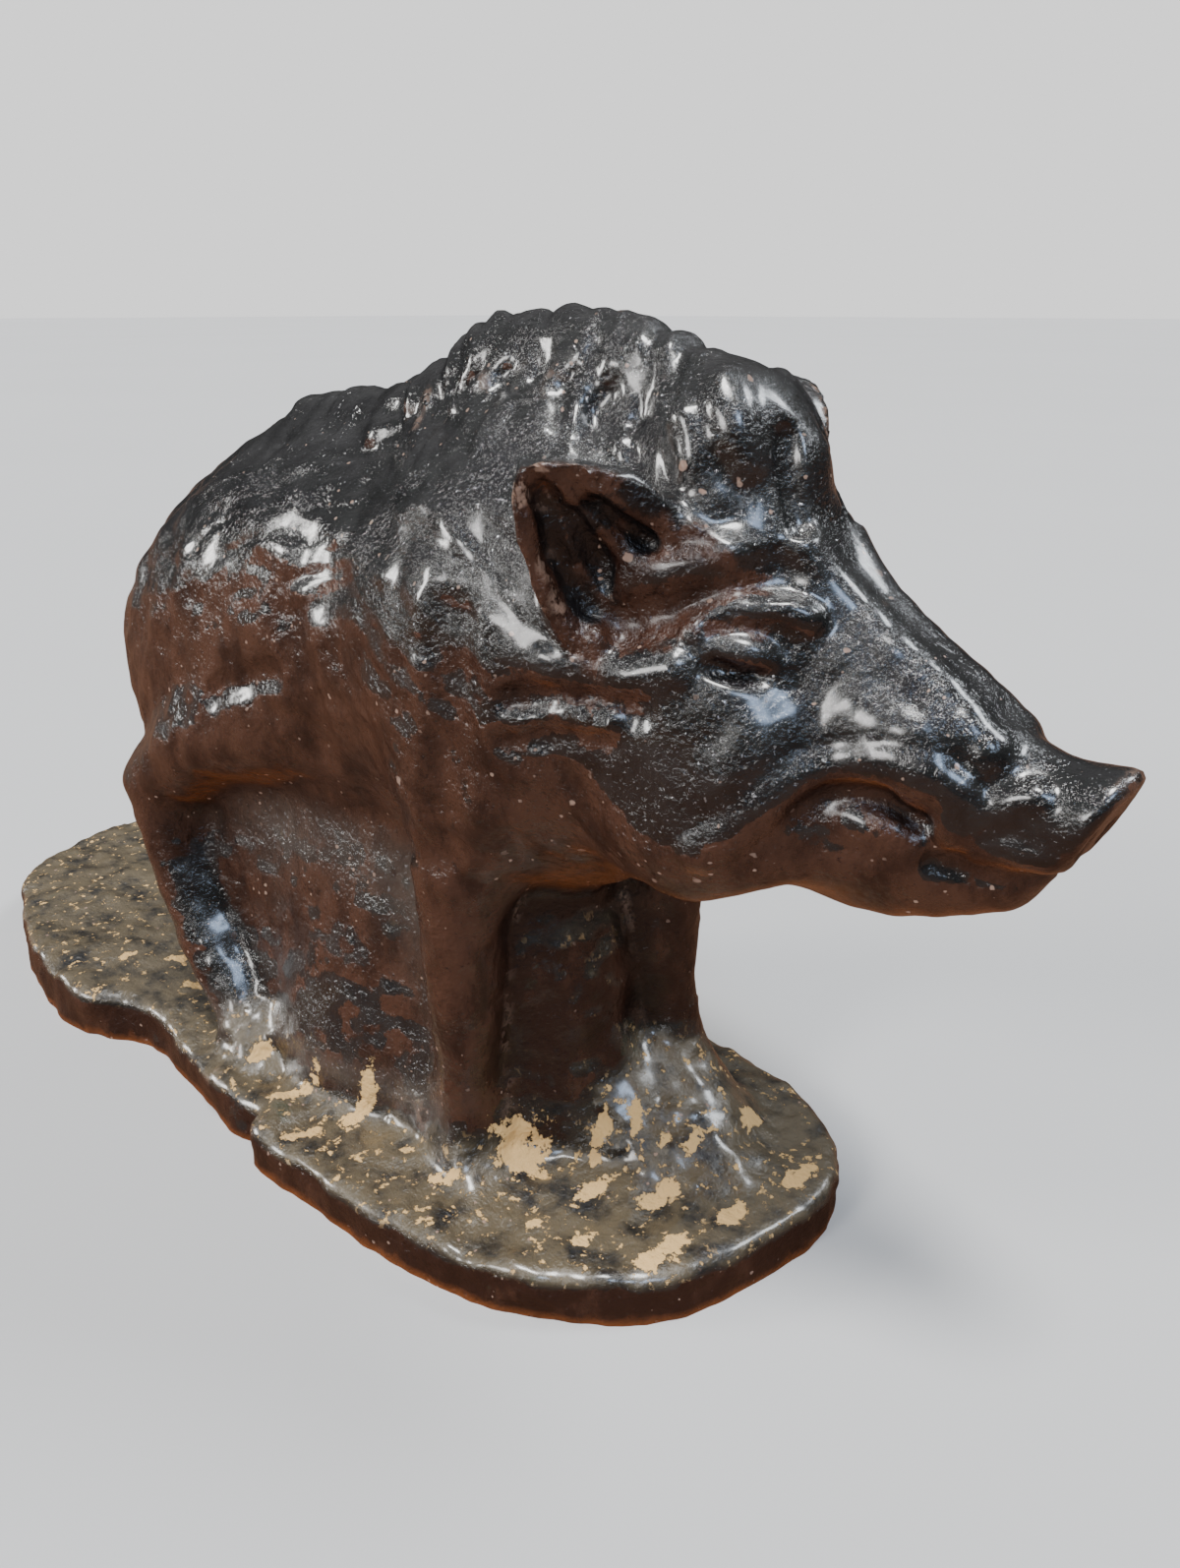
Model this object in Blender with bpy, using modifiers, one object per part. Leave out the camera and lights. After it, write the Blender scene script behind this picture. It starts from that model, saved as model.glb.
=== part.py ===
"""Boar figurine standing on an earthen plinth, cast as one solid.

Run it with: blender --background --python part.py
Metres, +Z up. The boar faces +X and its left side is +Y.
"""

import math

import bmesh
import bpy
import numpy as np
from mathutils import Euler, Matrix

NAME = "boar_figurine"

# Driving sizes, in metres
BOAR_HEIGHT = 0.094  # ground under the feet to the top of the mane
PLINTH_THICKNESS = 0.006  # underside to the ground under the front feet
PLINTH_REAR_RISE = 0.002  # how much higher the ground lies behind the hind feet
PLINTH_FRONT_MARGIN = 0.0183  # leading hoof to the front edge
PLINTH_REAR_MARGIN = 0.0802  # hind hooves to the rear edge
PLINTH_SIDE_MARGIN = 0.0132  # hooves to the side edges
PLINTH_WAIST = 0.0055  # how far the sides draw in between the two lobes
PLINTH_EDGE_ROUND = 0.0022  # blend along the top edge

# The boar's forms are laid out in points, 94 from the ground to the top of the mane
POINT = BOAR_HEIGHT / 94

# Where the hooves stand, in points
LEADING_HOOF = 6.5
TRAILING_HOOF = -10.0
HIND_HOOF = -50.0
HOOF_OUT = 15.5
LEADING_HOOF_OUT = HOOF_OUT - 5.0
HIND_HOOF_OUT = HOOF_OUT + 3.0
RISE_BEHIND = (10.0, 35.0)  # how far behind the hind hooves the ground starts and ends its rise

# The top of the mane from front to rear, as x and z in points
CREST = (
    (19, 81.5), (12, 86.6), (4, 88.8), (-6, 90.8), (-15, 90.2),
    (-23, 86.8), (-33, 82.2), (-44, 81.6), (-50, 80.0), (-56, 76.5),
)
LOCK_SPACING = 4.4

# How finely the surface is worked, in points
SETTLING = ((1.3, 8), (0.9, 3))  # voxel and number of steps in each pass
LONGEST_STEP = 1.2
PROBE = 0.05
LEAST_STEEPNESS = 0.4
REACH = 6.0  # how far round its box a form is measured
FAR = 1000.0
SINK = 4.0  # how far the rough form runs below the underside before it is cut flat
BEAD_SPACING = 0.6  # of a bead's radius
PAD_SPACING = 5.0
CURVE_STEPS = 3  # places on a curve from one of its rows to the next
TRIANGLES = 9200
SHARP_EDGE = math.radians(50)


def smooth_union(a, b, blend):
    """The smaller of two distances, rounded where they are closer than blend."""
    share = np.clip(0.5 + 0.5 * (b - a) / blend, 0.0, 1.0)
    return b + (a - b) * share - blend * share * (1.0 - share)


def smooth_cut(a, b, blend):
    """Distance to form a with form b taken out of it."""
    return -smooth_union(-a, b, blend)


def smooth_meet(a, b, blend):
    """Distance to what lies in both forms."""
    return -smooth_union(-a, -b, blend)


def through(rows, steps):
    """Points along a Catmull-Rom curve from the second row to the last but one."""
    t = np.linspace(0.0, 1.0, steps, endpoint=False)[:, None]
    curve = []
    for a, b, c, d in zip(rows, rows[1:], rows[2:], rows[3:]):
        bend = 2 * a - 5 * b + 4 * c - d + t * (3 * (b - c) + d - a)
        curve.append(b + 0.5 * t * (c - a + t * bend))
    return np.vstack(curve)


def open_curve(points, steps):
    """A smooth curve from the first point to the last."""
    rows = np.asarray(points, float)
    rows = np.vstack([2 * rows[0] - rows[1], rows, 2 * rows[-1] - rows[-2]])
    return np.vstack([through(rows, steps), rows[-2]])


def closed_curve(points, steps):
    """A smooth closed curve through the points."""
    rows = np.asarray(points, float)
    return through(np.vstack([rows[-1], rows, rows[:2]]), steps)


class Form:
    """One form of the figure. A paired form stands on both sides, and a cut is taken out."""

    def __init__(self, blend, paired, cut):
        self.blend, self.paired, self.cut = blend, paired, cut

    def distance(self, p):
        """Signed distance from points to this form, exact only near its box."""
        low, high = self.box()
        margin = REACH + self.blend
        near = np.all((p > low - margin) & (p < high + margin), axis=1)
        result = np.full(len(p), FAR)
        if near.any():
            result[near] = self.measure(p[near])
        return result

    def join(self, total, p):
        """The field after this form is blended into it."""
        blended = smooth_cut if self.cut else smooth_union
        return blended(total, self.distance(p), self.blend)


class Ball(Form):
    """An ellipsoid, turned by pitch about Y and then yaw about Z, in degrees."""

    def __init__(self, centre, radii, pitch=0.0, yaw=0.0, blend=4.0, paired=False, cut=False):
        super().__init__(blend, paired, cut)
        self.centre = np.array(centre, float)
        self.radii = np.array(radii, float)
        self.turn = np.array(Euler((0.0, math.radians(pitch), math.radians(yaw))).to_matrix())

    def box(self):
        return self.centre - self.radii.max(), self.centre + self.radii.max()

    def measure(self, p):
        local = (p - self.centre) @ self.turn
        scaled = np.linalg.norm(local / self.radii, axis=1)
        slope = np.linalg.norm(local / self.radii**2, axis=1)
        return scaled * (scaled - 1.0) / np.maximum(slope, 1e-9)

    def seeds(self):
        spread = Matrix.Diagonal((*self.radii, 1.0))
        return [Matrix.Translation(self.centre) @ Matrix(self.turn).to_4x4() @ spread]


class Limb(Form):
    """A round bar along a curve through rows of x, y, z, radius."""

    def __init__(self, rows, blend=4.0, paired=False, cut=False, steps=CURVE_STEPS):
        super().__init__(blend, paired, cut)
        self.path = open_curve(rows, steps)

    def box(self):
        radii = self.path[:, 3:]
        return (self.path[:, :3] - radii).min(axis=0), (self.path[:, :3] + radii).max(axis=0)

    def measure(self, p):
        best = np.full(len(p), FAR)
        for a, b in zip(self.path, self.path[1:]):
            run, offset = b[:3] - a[:3], p - a[:3]
            t = np.clip(offset @ run / max(run @ run, 1e-12), 0.0, 1.0)
            gap = np.linalg.norm(offset - t[:, None] * run, axis=1)
            best = np.minimum(best, gap - (a[3] + t * (b[3] - a[3])))
        return best

    def seeds(self):
        made = []
        for a, b in zip(self.path, self.path[1:]):
            length = np.linalg.norm(b[:3] - a[:3])
            count = max(1, math.ceil(length / (BEAD_SPACING * min(a[3], b[3]))))
            for t in np.linspace(0.0, 1.0, count, endpoint=False):
                row = a + t * (b - a)
                made.append(Matrix.Translation(row[:3]) @ Matrix.Scale(row[3], 4))
        return made


class Stroke(Limb):
    """A soft fold along rows of x, y, z: raised by lift, or a groove where lift is below zero."""

    def __init__(self, rows, width, lift, paired=True, steps=CURVE_STEPS):
        super().__init__([(*row, 0.0) for row in rows], paired=paired, steps=steps)
        self.width, self.lift = width, lift

    def join(self, total, p):
        reach = np.minimum(self.distance(p) / self.width, 1.0)
        return total - self.lift * (1.0 - reach**2) ** 2

    def seeds(self):
        return []


class Ear(Form):
    """A cupped leaf growing from root to tip. Its front edge lies towards the front point."""

    tip_power = 2.4  # how late the leaf begins to narrow
    tip_point = 0.75  # how sharp the tip is
    tip_flatness = 0.7  # how much shallower the cup is at the tip
    root_share = 0.3  # of the length, sunk below the root
    least_width = 0.03  # at the tip, before tip_point sharpens it
    rim_reach = 1.3  # of the half width, where the cup stops curving
    rim_blend = 1.0
    bead_share = 0.95  # of the length and width that the rough form fills

    def __init__(self, root, tip, front, half_width, hollow, wall, blend=2.0):
        super().__init__(blend, False, False)
        self.root = np.array(root, float)
        up = np.array(tip, float) - self.root
        self.length = np.linalg.norm(up)
        self.up = up / self.length
        across = np.array(front, float) - self.root
        across -= (across @ self.up) * self.up
        self.across = across / np.linalg.norm(across)
        opening = np.cross(self.up, self.across)
        self.opening = opening * np.sign(opening[0])
        self.half_width, self.hollow, self.wall = half_width, hollow, wall

    def box(self):
        reach = self.half_width + self.hollow
        sunk = self.root_share * self.length
        ends = np.array((self.root - sunk * self.up, self.root + self.length * self.up))
        return ends.min(axis=0) - reach, ends.max(axis=0) + reach

    def width_at(self, rise):
        """Half width at a share of the length."""
        return self.half_width * np.maximum(1.0 - rise**self.tip_power, self.least_width) ** self.tip_point

    def sheet_at(self, rise, reach):
        """How far behind its rims the cup lies, at a share of the length and of the half width."""
        return self.hollow * (1.0 - self.tip_flatness * rise) * (reach**2 - 1.0)

    def measure(self, p):
        offset = p - self.root
        along, side, out = offset @ self.up, offset @ self.across, offset @ self.opening
        rise = np.clip(along / self.length, 0.0, 1.0)
        width = self.width_at(rise)
        sheet = self.sheet_at(rise, np.minimum(np.abs(side) / width, self.rim_reach))
        leaf = smooth_meet(np.abs(out - sheet) - self.wall, np.abs(side) - width, self.rim_blend)
        leaf = smooth_meet(leaf, along - self.length, self.rim_blend)
        return smooth_meet(leaf, -along - self.root_share * self.length, self.rim_blend)

    def seeds(self):
        made = []
        sunk, end = self.root_share * self.length - self.wall, self.bead_share * self.length
        for along in np.arange(-sunk, end, self.wall):
            rise = max(along / self.length, 0.0)
            width = self.width_at(rise)
            out = self.bead_share * width
            for side in np.arange(-out, out, self.wall):
                spot = self.root + along * self.up + side * self.across
                spot += self.sheet_at(rise, side / width) * self.opening
                made.append(Matrix.Translation(spot) @ Matrix.Scale(1.2 * self.wall, 4))
        return made


class Plinth(Form):
    """The ground: a slab inside a closed outline, rising between two places along X."""

    def __init__(self, outline, rise, blend=3.0):
        super().__init__(blend, False, False)
        self.outline = closed_curve(outline, CURVE_STEPS)
        self.rise_from, self.rise_to = rise
        self.depth = PLINTH_THICKNESS / POINT
        self.rear_rise = PLINTH_REAR_RISE / POINT
        self.edge_round = PLINTH_EDGE_ROUND / POINT

    def box(self):
        low, high = self.outline.min(axis=0), self.outline.max(axis=0)
        return np.array((*low, -self.depth - SINK)), np.array((*high, self.rear_rise))

    def edge_distance(self, flat):
        """Distance to the outline seen from above, below zero inside it."""
        best = np.full(len(flat), FAR)
        inside = np.zeros(len(flat), bool)
        for a, b in zip(self.outline, np.roll(self.outline, -1, axis=0)):
            run, offset = b - a, flat - a
            t = np.clip(offset @ run / (run @ run), 0.0, 1.0)
            best = np.minimum(best, np.linalg.norm(offset - t[:, None] * run, axis=1))
            crosses = (a[1] > flat[:, 1]) != (b[1] > flat[:, 1])
            slope = run[0] / (run[1] or PROBE)
            inside ^= crosses & (flat[:, 0] < a[0] + slope * (flat[:, 1] - a[1]))
        return np.where(inside, -best, best)

    def measure(self, p):
        rise = np.clip((self.rise_from - p[:, 0]) / (self.rise_from - self.rise_to), 0.0, 1.0)
        above = p[:, 2] - self.rear_rise * rise
        slab = smooth_meet(self.edge_distance(p[:, :2]), above, self.edge_round)
        return np.maximum(slab, -self.depth - SINK - p[:, 2])

    def seeds(self):
        low, high = self.outline.min(axis=0), self.outline.max(axis=0)
        across = np.arange(low[0], high[0], PAD_SPACING)
        along = np.arange(low[1], high[1], PAD_SPACING)
        spots = np.array([(x, y) for x in across for y in along])
        height = 0.5 * (self.depth + SINK)
        made = []
        for spot, reach in zip(spots, -self.edge_distance(spots)):
            if reach > 0.5 * PAD_SPACING:
                spread = Matrix.Diagonal((reach, reach, height, 1.0))
                made.append(Matrix.Translation((*spot, -height)) @ spread)
        return made


def trunk():
    """Ribs, shoulder, rump, hump, neck and the tail curled against the rump."""
    tail = [(-80, 0, 56, 3.0), (-85.4, -1, 56.4, 2.4), (-86.8, -5, 54.4, 2.1), (-84.6, -8, 50.6, 1.6)]
    return [
        Ball((-36, 0, 58.5), (38, 19, 24)),
        Ball((-8, 0, 60), (22, 20, 27), blend=8),
        Ball((-60, 0, 51.8), (24, 16.5, 21.4), pitch=-18, blend=8),
        Ball((-67.5, 8, 45), (13.5, 8.3, 15), pitch=10, blend=6, paired=True),
        Limb([(-6, 0, 61, 21), (6, 0, 62, 17), (13, 0, 63, 14)], blend=6),
        Ball((-8, 0, 73.5), (26, 8, 14), pitch=-3, blend=6),
        Limb(tail, blend=1.5),
    ]


def mane():
    """The crest along the back of the neck, with locks combed down both sides."""
    crest = Limb([(x, 0, z, 3.1) for x, z in CREST], blend=5)
    crown = Ball((13, -1, 83.2), (6.5, 7.5, 6), blend=3)
    ridge = crest.path[::-1]
    locks = []
    for start in np.arange(ridge[0, 0] + LOCK_SPACING, ridge[-1, 0] - LOCK_SPACING, LOCK_SPACING):
        top = np.interp(start, ridge[:, 0], ridge[:, 2]) + 2.0
        wave, drift = math.sin(2.3 * start), math.cos(1.7 * start)
        rows = [
            (start, 0.0, top),
            (start - 1.0 - 0.6 * wave, 4.0 + 0.6 * drift, top - 3.2),
            (start - 3.4 + 0.9 * wave, 7.0 + drift, top - 8.6 - 2.0 * wave),
        ]
        lift = 0.6 + 0.4 * math.sin(1.9 * start)
        locks.append(Stroke(rows, 2.2, lift, steps=2))
    return [crest, crown, *locks]


def head():
    """Skull, nose, jaw, jowls and snout disk, with the tufts of the brow."""
    ridge = [(23.7, 4.1, 74.9), (27.6, 2.9, 71.1), (32.7, 3.1, 67.3), (37, 3.3, 64.5), (41.1, 4, 61.4)]
    jaw_side = [(17, 8.6, 49.6, 6.0), (26, 6.0, 50.2, 4.6), (35, 3.6, 50.8, 3.4)]
    return [
        Ball((13, 0, 70.2), (11.5, 11.5, 12.5), blend=4),
        Limb([(19, 0, 66.2, 9.4), (28, 0, 62.0, 7.8), (36, 0, 58.6, 6.5), (45, 0, 55.4, 4.6)], blend=3),
        Limb([(10, 0, 49, 11), (22, 0, 48.4, 6.6), (33, 0, 47.9, 5.6), (41.5, 0, 50.0, 4.4)], blend=4),
        Limb(jaw_side, blend=3, paired=True),
        Ball((15, 10, 55), (11, 6, 12), blend=5, paired=True),
        Limb([(44, 0, 55.8, 4.6), (51.5, 0, 55.4, 5.4)], blend=1.5),
        Ball((103.9, 0, 30), (60, 60, 60), blend=1.6, cut=True),
        Stroke([(11.5, 13.4, 73.4), (15.0, 11.4, 73.2), (19.0, 9.6, 74.0)], 4.0, 1.3),
        Stroke([(12.0, 8.2, 85.0), (14.2, 8.6, 82.0), (15.8, 8.6, 78.8)], 3.0, 1.1),
        Stroke([(14.6, 4.6, 87.8), (16.8, 6.0, 85.2), (18.2, 6.4, 82.2)], 2.8, 1.1),
        Stroke([(20.0, 3.0, 84.0), (21.0, 3.7, 80.0), (22.6, 4.2, 76.6)], 1.5, -1.1),
        Stroke(ridge, 3.2, 0.9),
    ]


def eyes():
    """Brow furrow, brow, lid crease, socket and eyeball of both eyes."""
    furrow = [(12, 14.2, 68.5), (16, 12.6, 70.2), (19.6, 10.4, 72.0), (23, 7.6, 73.4)]
    brow = [(17.5, 12.4, 69.2), (20.5, 10.4, 70.9), (23.4, 8.7, 71.2), (26.0, 7.4, 70.2)]
    lid = [(19.0, 11.8, 68.9), (21.2, 10.8, 69.4), (23.4, 9.8, 69.0), (25.0, 9.2, 67.8)]
    return [
        Stroke(furrow, 3.2, -1.6),
        Stroke(brow, 2.2, 1.1),
        Stroke(lid, 1.5, -0.6),
        Ball((21.9, 11.7, 65.6), (2.8, 1.3, 0.8), pitch=8, yaw=-33, blend=1.2, paired=True, cut=True),
        Ball((22.0, 10.1, 66.9), (2.5, 1.3, 1.2), pitch=8, yaw=-33, blend=1.0, paired=True),
    ]


def mouth():
    """Lips raised over the tusks, the folds before them, the mouth's line and the nostrils."""
    lip = [
        (21.2, 15.2, 49.8), (23.4, 14.2, 51.9), (25.4, 12.6, 54.4), (27.4, 10.4, 56.8), (30, 8.3, 58.0),
        (34, 7.3, 58.8), (38, 6.5, 58.4), (40.2, 5.9, 56.8), (39.8, 5.7, 54.4),
    ]
    muzzle = [(23.0, 13.4, 56.8), (25.2, 12.0, 59.4), (28.0, 9.4, 61.2), (32.0, 7.6, 61.6), (36.0, 6.4, 61.0)]
    hollow = [(28.4, 11.2, 54.2, 0.7), (30.4, 9.6, 55.7, 1.3), (33.5, 8.5, 55.8, 1.5), (36.4, 7.4, 54.2, 1.3)]
    tusk = [(28, 7.2, 52.6, 0.8), (30.5, 7.0, 53.2, 1.6), (33.5, 6.7, 53.1, 1.7), (36.5, 6.0, 52.2, 0.9)]
    line = [(38, 5.4, 50.8), (43.7, 4.4, 50.2), (46.8, 2.6, 51), (47.8, 0, 51.2)]
    corner = [(19, 10.2, 54.5, 4.2), (25, 8.0, 55.5, 3.4), (31, 5.4, 57, 3.0)]
    return [
        Limb(corner, blend=3, paired=True),
        Stroke(muzzle, 4.5, 0.9),
        Stroke(lip, 2.6, 2.1),
        Limb(hollow, blend=2.0, paired=True, cut=True),
        Limb(tusk, blend=1.4, paired=True),
        Stroke([(36.4, 6.4, 57.0), (37.8, 6.0, 56.6)], 2.2, 1.1),
        Stroke([(40.6, 5.0, 54.8), (43, 5.0, 56.9), (45.4, 4.4, 58.4)], 2.0, 0.9),
        Stroke([(41.5, 4.8, 53.2), (44, 4.8, 53.3), (46.8, 4.4, 53.2)], 1.8, 0.9),
        Stroke(line, 1.6, -0.9),
        Ball((49.4, 2.3, 54.4), (1.6, 0.8, 1.3), blend=0.6, paired=True, cut=True),
    ]


def cheeks():
    """The folds between the ears and the jowls."""
    upper = [(6, 17.6, 64.4), (9.7, 16.9, 64.0), (13, 16.2, 64.4), (17, 14.6, 65.4)]
    under = [(2.5, 19.4, 60.8), (6.5, 18.5, 61.4), (11, 17.2, 62.4), (15, 16.2, 61.6)]
    lower = [(3.5, 19.0, 58.6), (7.3, 18.1, 60.1), (12.5, 17.0, 60.4)]
    last = [(2, 19.6, 56.8), (6, 18.6, 58.0), (12, 17.4, 58.3)]
    strand = [(11.0, 16.0, 68.6), (9.6, 16.9, 65.6), (8.2, 17.6, 61.6)]
    folds = [(upper, 2.6, 1.2), (under, 2.2, -1.0), (lower, 2.0, 0.9), (last, 2.2, -0.9), (strand, 1.5, 0.7)]
    return [Stroke(rows, width, lift) for rows, width, lift in folds]


def ears():
    """The two ears, one turned out and the other pricked."""
    turned, turned_front = [(12.6, -11.4, 70), (6.4, -21.6, 82.2)], (17, -8.4, 77)
    pricked, pricked_front = [(12.5, 8.5, 72), (11.2, 13.5, 88)], (18, 8, 80)
    return [
        Ear(*turned, turned_front, half_width=7.4, hollow=3.2, wall=1.5),
        Ear(*pricked, pricked_front, half_width=6.2, hollow=2.6, wall=1.4),
    ]


def front_legs():
    """The trailing leg on the right and the leading one on the left."""
    trailing = [
        (-9, -12, 48, 9), (-11, -14, 34, 5.2), (-11, -15, 18, 3.3), (-11, -15, 7, 3.1),
        (TRAILING_HOOF, -HOOF_OUT, 0, 4.2),
    ]
    leading = [
        (-3, 10, 47, 9), (-2.5, 11, 32, 5.2), (-2, 11, 18, 3.8), (0.2, 10.8, 8, 3.5),
        (LEADING_HOOF, LEADING_HOOF_OUT, 0, 4.6),
    ]
    return [Limb(trailing), Limb(leading)]


def hind_legs():
    """Haunches, shanks and cannons, drawn up under the rump, with the creases round them."""
    shank = [(-36, 11, 49, 5.5), (-44, 13, 47.5, 6.2), (-56, 15.2, 43, 6.2), (-68.5, 16, 34, 5.2)]
    cannon = [
        (-68.5, 16, 33, 5.2), (-66.5, 17, 23, 4.2), (-61, 17.5, 13, 3.8), (-54, 18, 5, 3.8),
        (HIND_HOOF, HIND_HOOF_OUT, 0, 4.6),
    ]
    return [
        Ball((-57, 10, 52), (20, 8, 16), pitch=-12, paired=True, blend=5),
        Limb(shank, paired=True, blend=3.5),
        Limb(cannon, paired=True, blend=2),
        Stroke([(-48, 20.4, 51), (-42, 20, 53.6), (-36, 19.2, 55.6)], 2.6, -1.5),
        Stroke([(-33, 19.6, 64), (-30.5, 19.6, 56), (-31.5, 18, 46)], 4.5, -1.4),
    ]


def collar():
    """The groove where the neck's thick coat ends over the shoulder."""
    return [Stroke([(-4, 21.6, 68), (-3.2, 21.8, 60), (-5, 21.4, 52), (-8, 19.6, 43)], 4.0, -1.4)]


def mound():
    """The ground that fills the space under the belly and runs out towards the leading hoof."""
    foot = [(-56, 0, 0, 10), (-34, 0, 0, 20), (-16, 0, 0, 12), (0, 2, 0, 8), (12, 3, -4, 6)]
    return [
        Ball((-34, 0, 16), (33, 15.4, 32), blend=6),
        Ball((-58, 0, 20), (16, 14.2, 28), blend=6),
        Limb(foot, blend=8, steps=2),
    ]


def plinth():
    """The slab under the hooves, its lobes tied to them by the named margins."""
    front = LEADING_HOOF + PLINTH_FRONT_MARGIN / POINT
    rear = HIND_HOOF - PLINTH_REAR_MARGIN / POINT
    side = HOOF_OUT + PLINTH_SIDE_MARGIN / POINT
    waist = 1.0 - PLINTH_WAIST / POINT / side
    right = [
        (0.0, 0.04), (0.045, -0.54), (0.122, -0.79), (0.19, -0.93), (0.264, -1.02), (0.335, -1.02),
        (0.40, -waist - 0.03), (0.483, -0.90), (0.56, -0.955), (0.60, -0.935), (0.613, -1.02),
        (0.66, -1.03), (0.76, -1.0), (0.85, -0.93), (0.915, -0.76), (0.97, -0.45),
    ]
    left = [
        (1.0, 0.15), (0.985, 0.50), (0.94, 0.72), (0.86, 0.86), (0.70, 0.86), (0.55, 0.80),
        (0.40, waist - 0.08), (0.24, 0.86), (0.12, 0.72), (0.03, 0.42),
    ]
    outline = [(rear + share * (front - rear), side * out) for share, out in right + left]
    return Plinth(outline, rise=(HIND_HOOF - RISE_BEHIND[0], HIND_HOOF - RISE_BEHIND[1]))


def all_forms():
    """Every form of the figurine, in the order they are blended."""
    figure = [*trunk(), *mane(), *front_legs(), *hind_legs(), *head(), *ears(), *eyes(), *mouth()]
    return [*figure, *cheeks(), *collar(), *mound(), plinth()]


def solid_distance(p, forms):
    """Signed distance from points to all the forms, blended in order."""
    mirrored = np.column_stack((p[:, 0], np.abs(p[:, 1]), p[:, 2]))
    total = np.full(len(p), FAR)
    for form in forms:
        total = form.join(total, mirrored if form.paired else p)
    return total


def settle(p, forms):
    """Moves points one step down the slope of the field, towards the blended surface."""
    here = solid_distance(p, forms)
    ahead = [solid_distance(p + PROBE * axis, forms) for axis in np.eye(3)]
    slope = (np.column_stack(ahead) - here[:, None]) / PROBE
    steepness = np.maximum(np.linalg.norm(slope, axis=1), LEAST_STEEPNESS)
    step = np.clip(here / steepness, -LONGEST_STEP, LONGEST_STEP)
    return p - (step / steepness)[:, None] * slope


def unit_bead():
    """The places and faces of a sphere of radius 1."""
    bead = bmesh.new()
    bmesh.ops.create_uvsphere(bead, u_segments=14, v_segments=8, radius=1.0)
    places = np.array([vert.co for vert in bead.verts])
    faces = [[vert.index for vert in face.verts] for face in bead.faces]
    bead.free()
    return places, faces


def rough_form(forms):
    """A mesh of overlapping beads and pads, one or more for each form, in points."""
    bead, bead_faces = unit_bead()
    both_sides = (Matrix.Identity(4), Matrix.Scale(-1.0, 4, (0.0, 1.0, 0.0)))
    places, faces = [], []
    for form in forms:
        if form.cut:
            continue
        for side in both_sides[: 2 if form.paired else 1]:
            for seed in form.seeds():
                turn = np.array(side @ seed)
                first = len(places) * len(bead)
                order = 1 if np.linalg.det(turn[:3, :3]) > 0 else -1
                faces.extend([[first + corner for corner in face][::order] for face in bead_faces])
                places.append(bead @ turn[:3, :3].T + turn[:3, 3])
    mesh = bpy.data.meshes.new(NAME)
    mesh.from_pydata(np.vstack(places), [], faces)
    return mesh


def outer_shell(mesh):
    """The mesh without the shells of hollows that lie inside it."""
    work = bmesh.new()
    work.from_mesh(mesh)
    unseen = set(work.verts)
    shells = []
    while unseen:
        shell = {unseen.pop()}
        edge_of_shell = list(shell)
        while edge_of_shell:
            place = edge_of_shell.pop()
            fresh = [link.other_vert(place) for link in place.link_edges if link.other_vert(place) in unseen]
            unseen.difference_update(fresh)
            shell.update(fresh)
            edge_of_shell.extend(fresh)
        shells.append(shell)
    outer = max(shells, key=len)
    inner = [place for shell in shells if shell is not outer for place in shell]
    bmesh.ops.delete(work, geom=inner, context="VERTS")
    work.to_mesh(mesh)
    work.free()
    return mesh


def with_modifier(mesh, kind, **values):
    """The mesh after one modifier."""
    holder = bpy.data.objects.new("holder", mesh)
    bpy.context.scene.collection.objects.link(holder)
    modifier = holder.modifiers.new(kind, kind)
    for name, value in values.items():
        setattr(modifier, name, value)
    graph = bpy.context.evaluated_depsgraph_get()
    result = bpy.data.meshes.new_from_object(holder.evaluated_get(graph))
    bpy.data.objects.remove(holder)
    bpy.data.meshes.remove(mesh)
    return result


def read_vectors(source, name, count):
    """A mesh attribute of vectors as an array."""
    values = np.empty(count * 3)
    source.foreach_get(name, values)
    return values.reshape(-1, 3)


def worked_surface(forms):
    """The blended surface as an even mesh, in points."""
    mesh = rough_form(forms)
    for voxel, rounds in SETTLING:
        mesh = outer_shell(with_modifier(mesh, "REMESH", mode="VOXEL", voxel_size=voxel))
        count = len(mesh.vertices)
        for _ in range(rounds):
            places = settle(read_vectors(mesh.vertices, "co", count), forms)
            mesh.vertices.foreach_set("co", places.ravel())
    return mesh


def flatten_underside(mesh, height):
    """Cuts the mesh off flat at a height and closes it there."""
    work = bmesh.new()
    work.from_mesh(mesh)
    geometry = [*work.verts, *work.edges, *work.faces]
    cut = bmesh.ops.bisect_plane(
        work, geom=geometry, plane_co=(0, 0, height), plane_no=(0, 0, -1), clear_outer=True
    )
    edges = [item for item in cut["geom_cut"] if isinstance(item, bmesh.types.BMEdge)]
    bmesh.ops.holes_fill(work, edges=edges)
    bmesh.ops.recalc_face_normals(work, faces=work.faces)
    bmesh.ops.triangulate(work, faces=[face for face in work.faces if len(face.verts) > 4])
    work.to_mesh(mesh)
    work.free()


def glazed_black():
    """Dark lacquer over the cast body."""
    material = bpy.data.materials.new("dark_glaze")
    material.use_nodes = True
    shader = material.node_tree.nodes["Principled BSDF"]
    shader.inputs["Base Color"].default_value = (0.022, 0.014, 0.010, 1.0)
    shader.inputs["Roughness"].default_value = 0.3
    shader.inputs["Metallic"].default_value = 0.0
    return material


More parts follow.
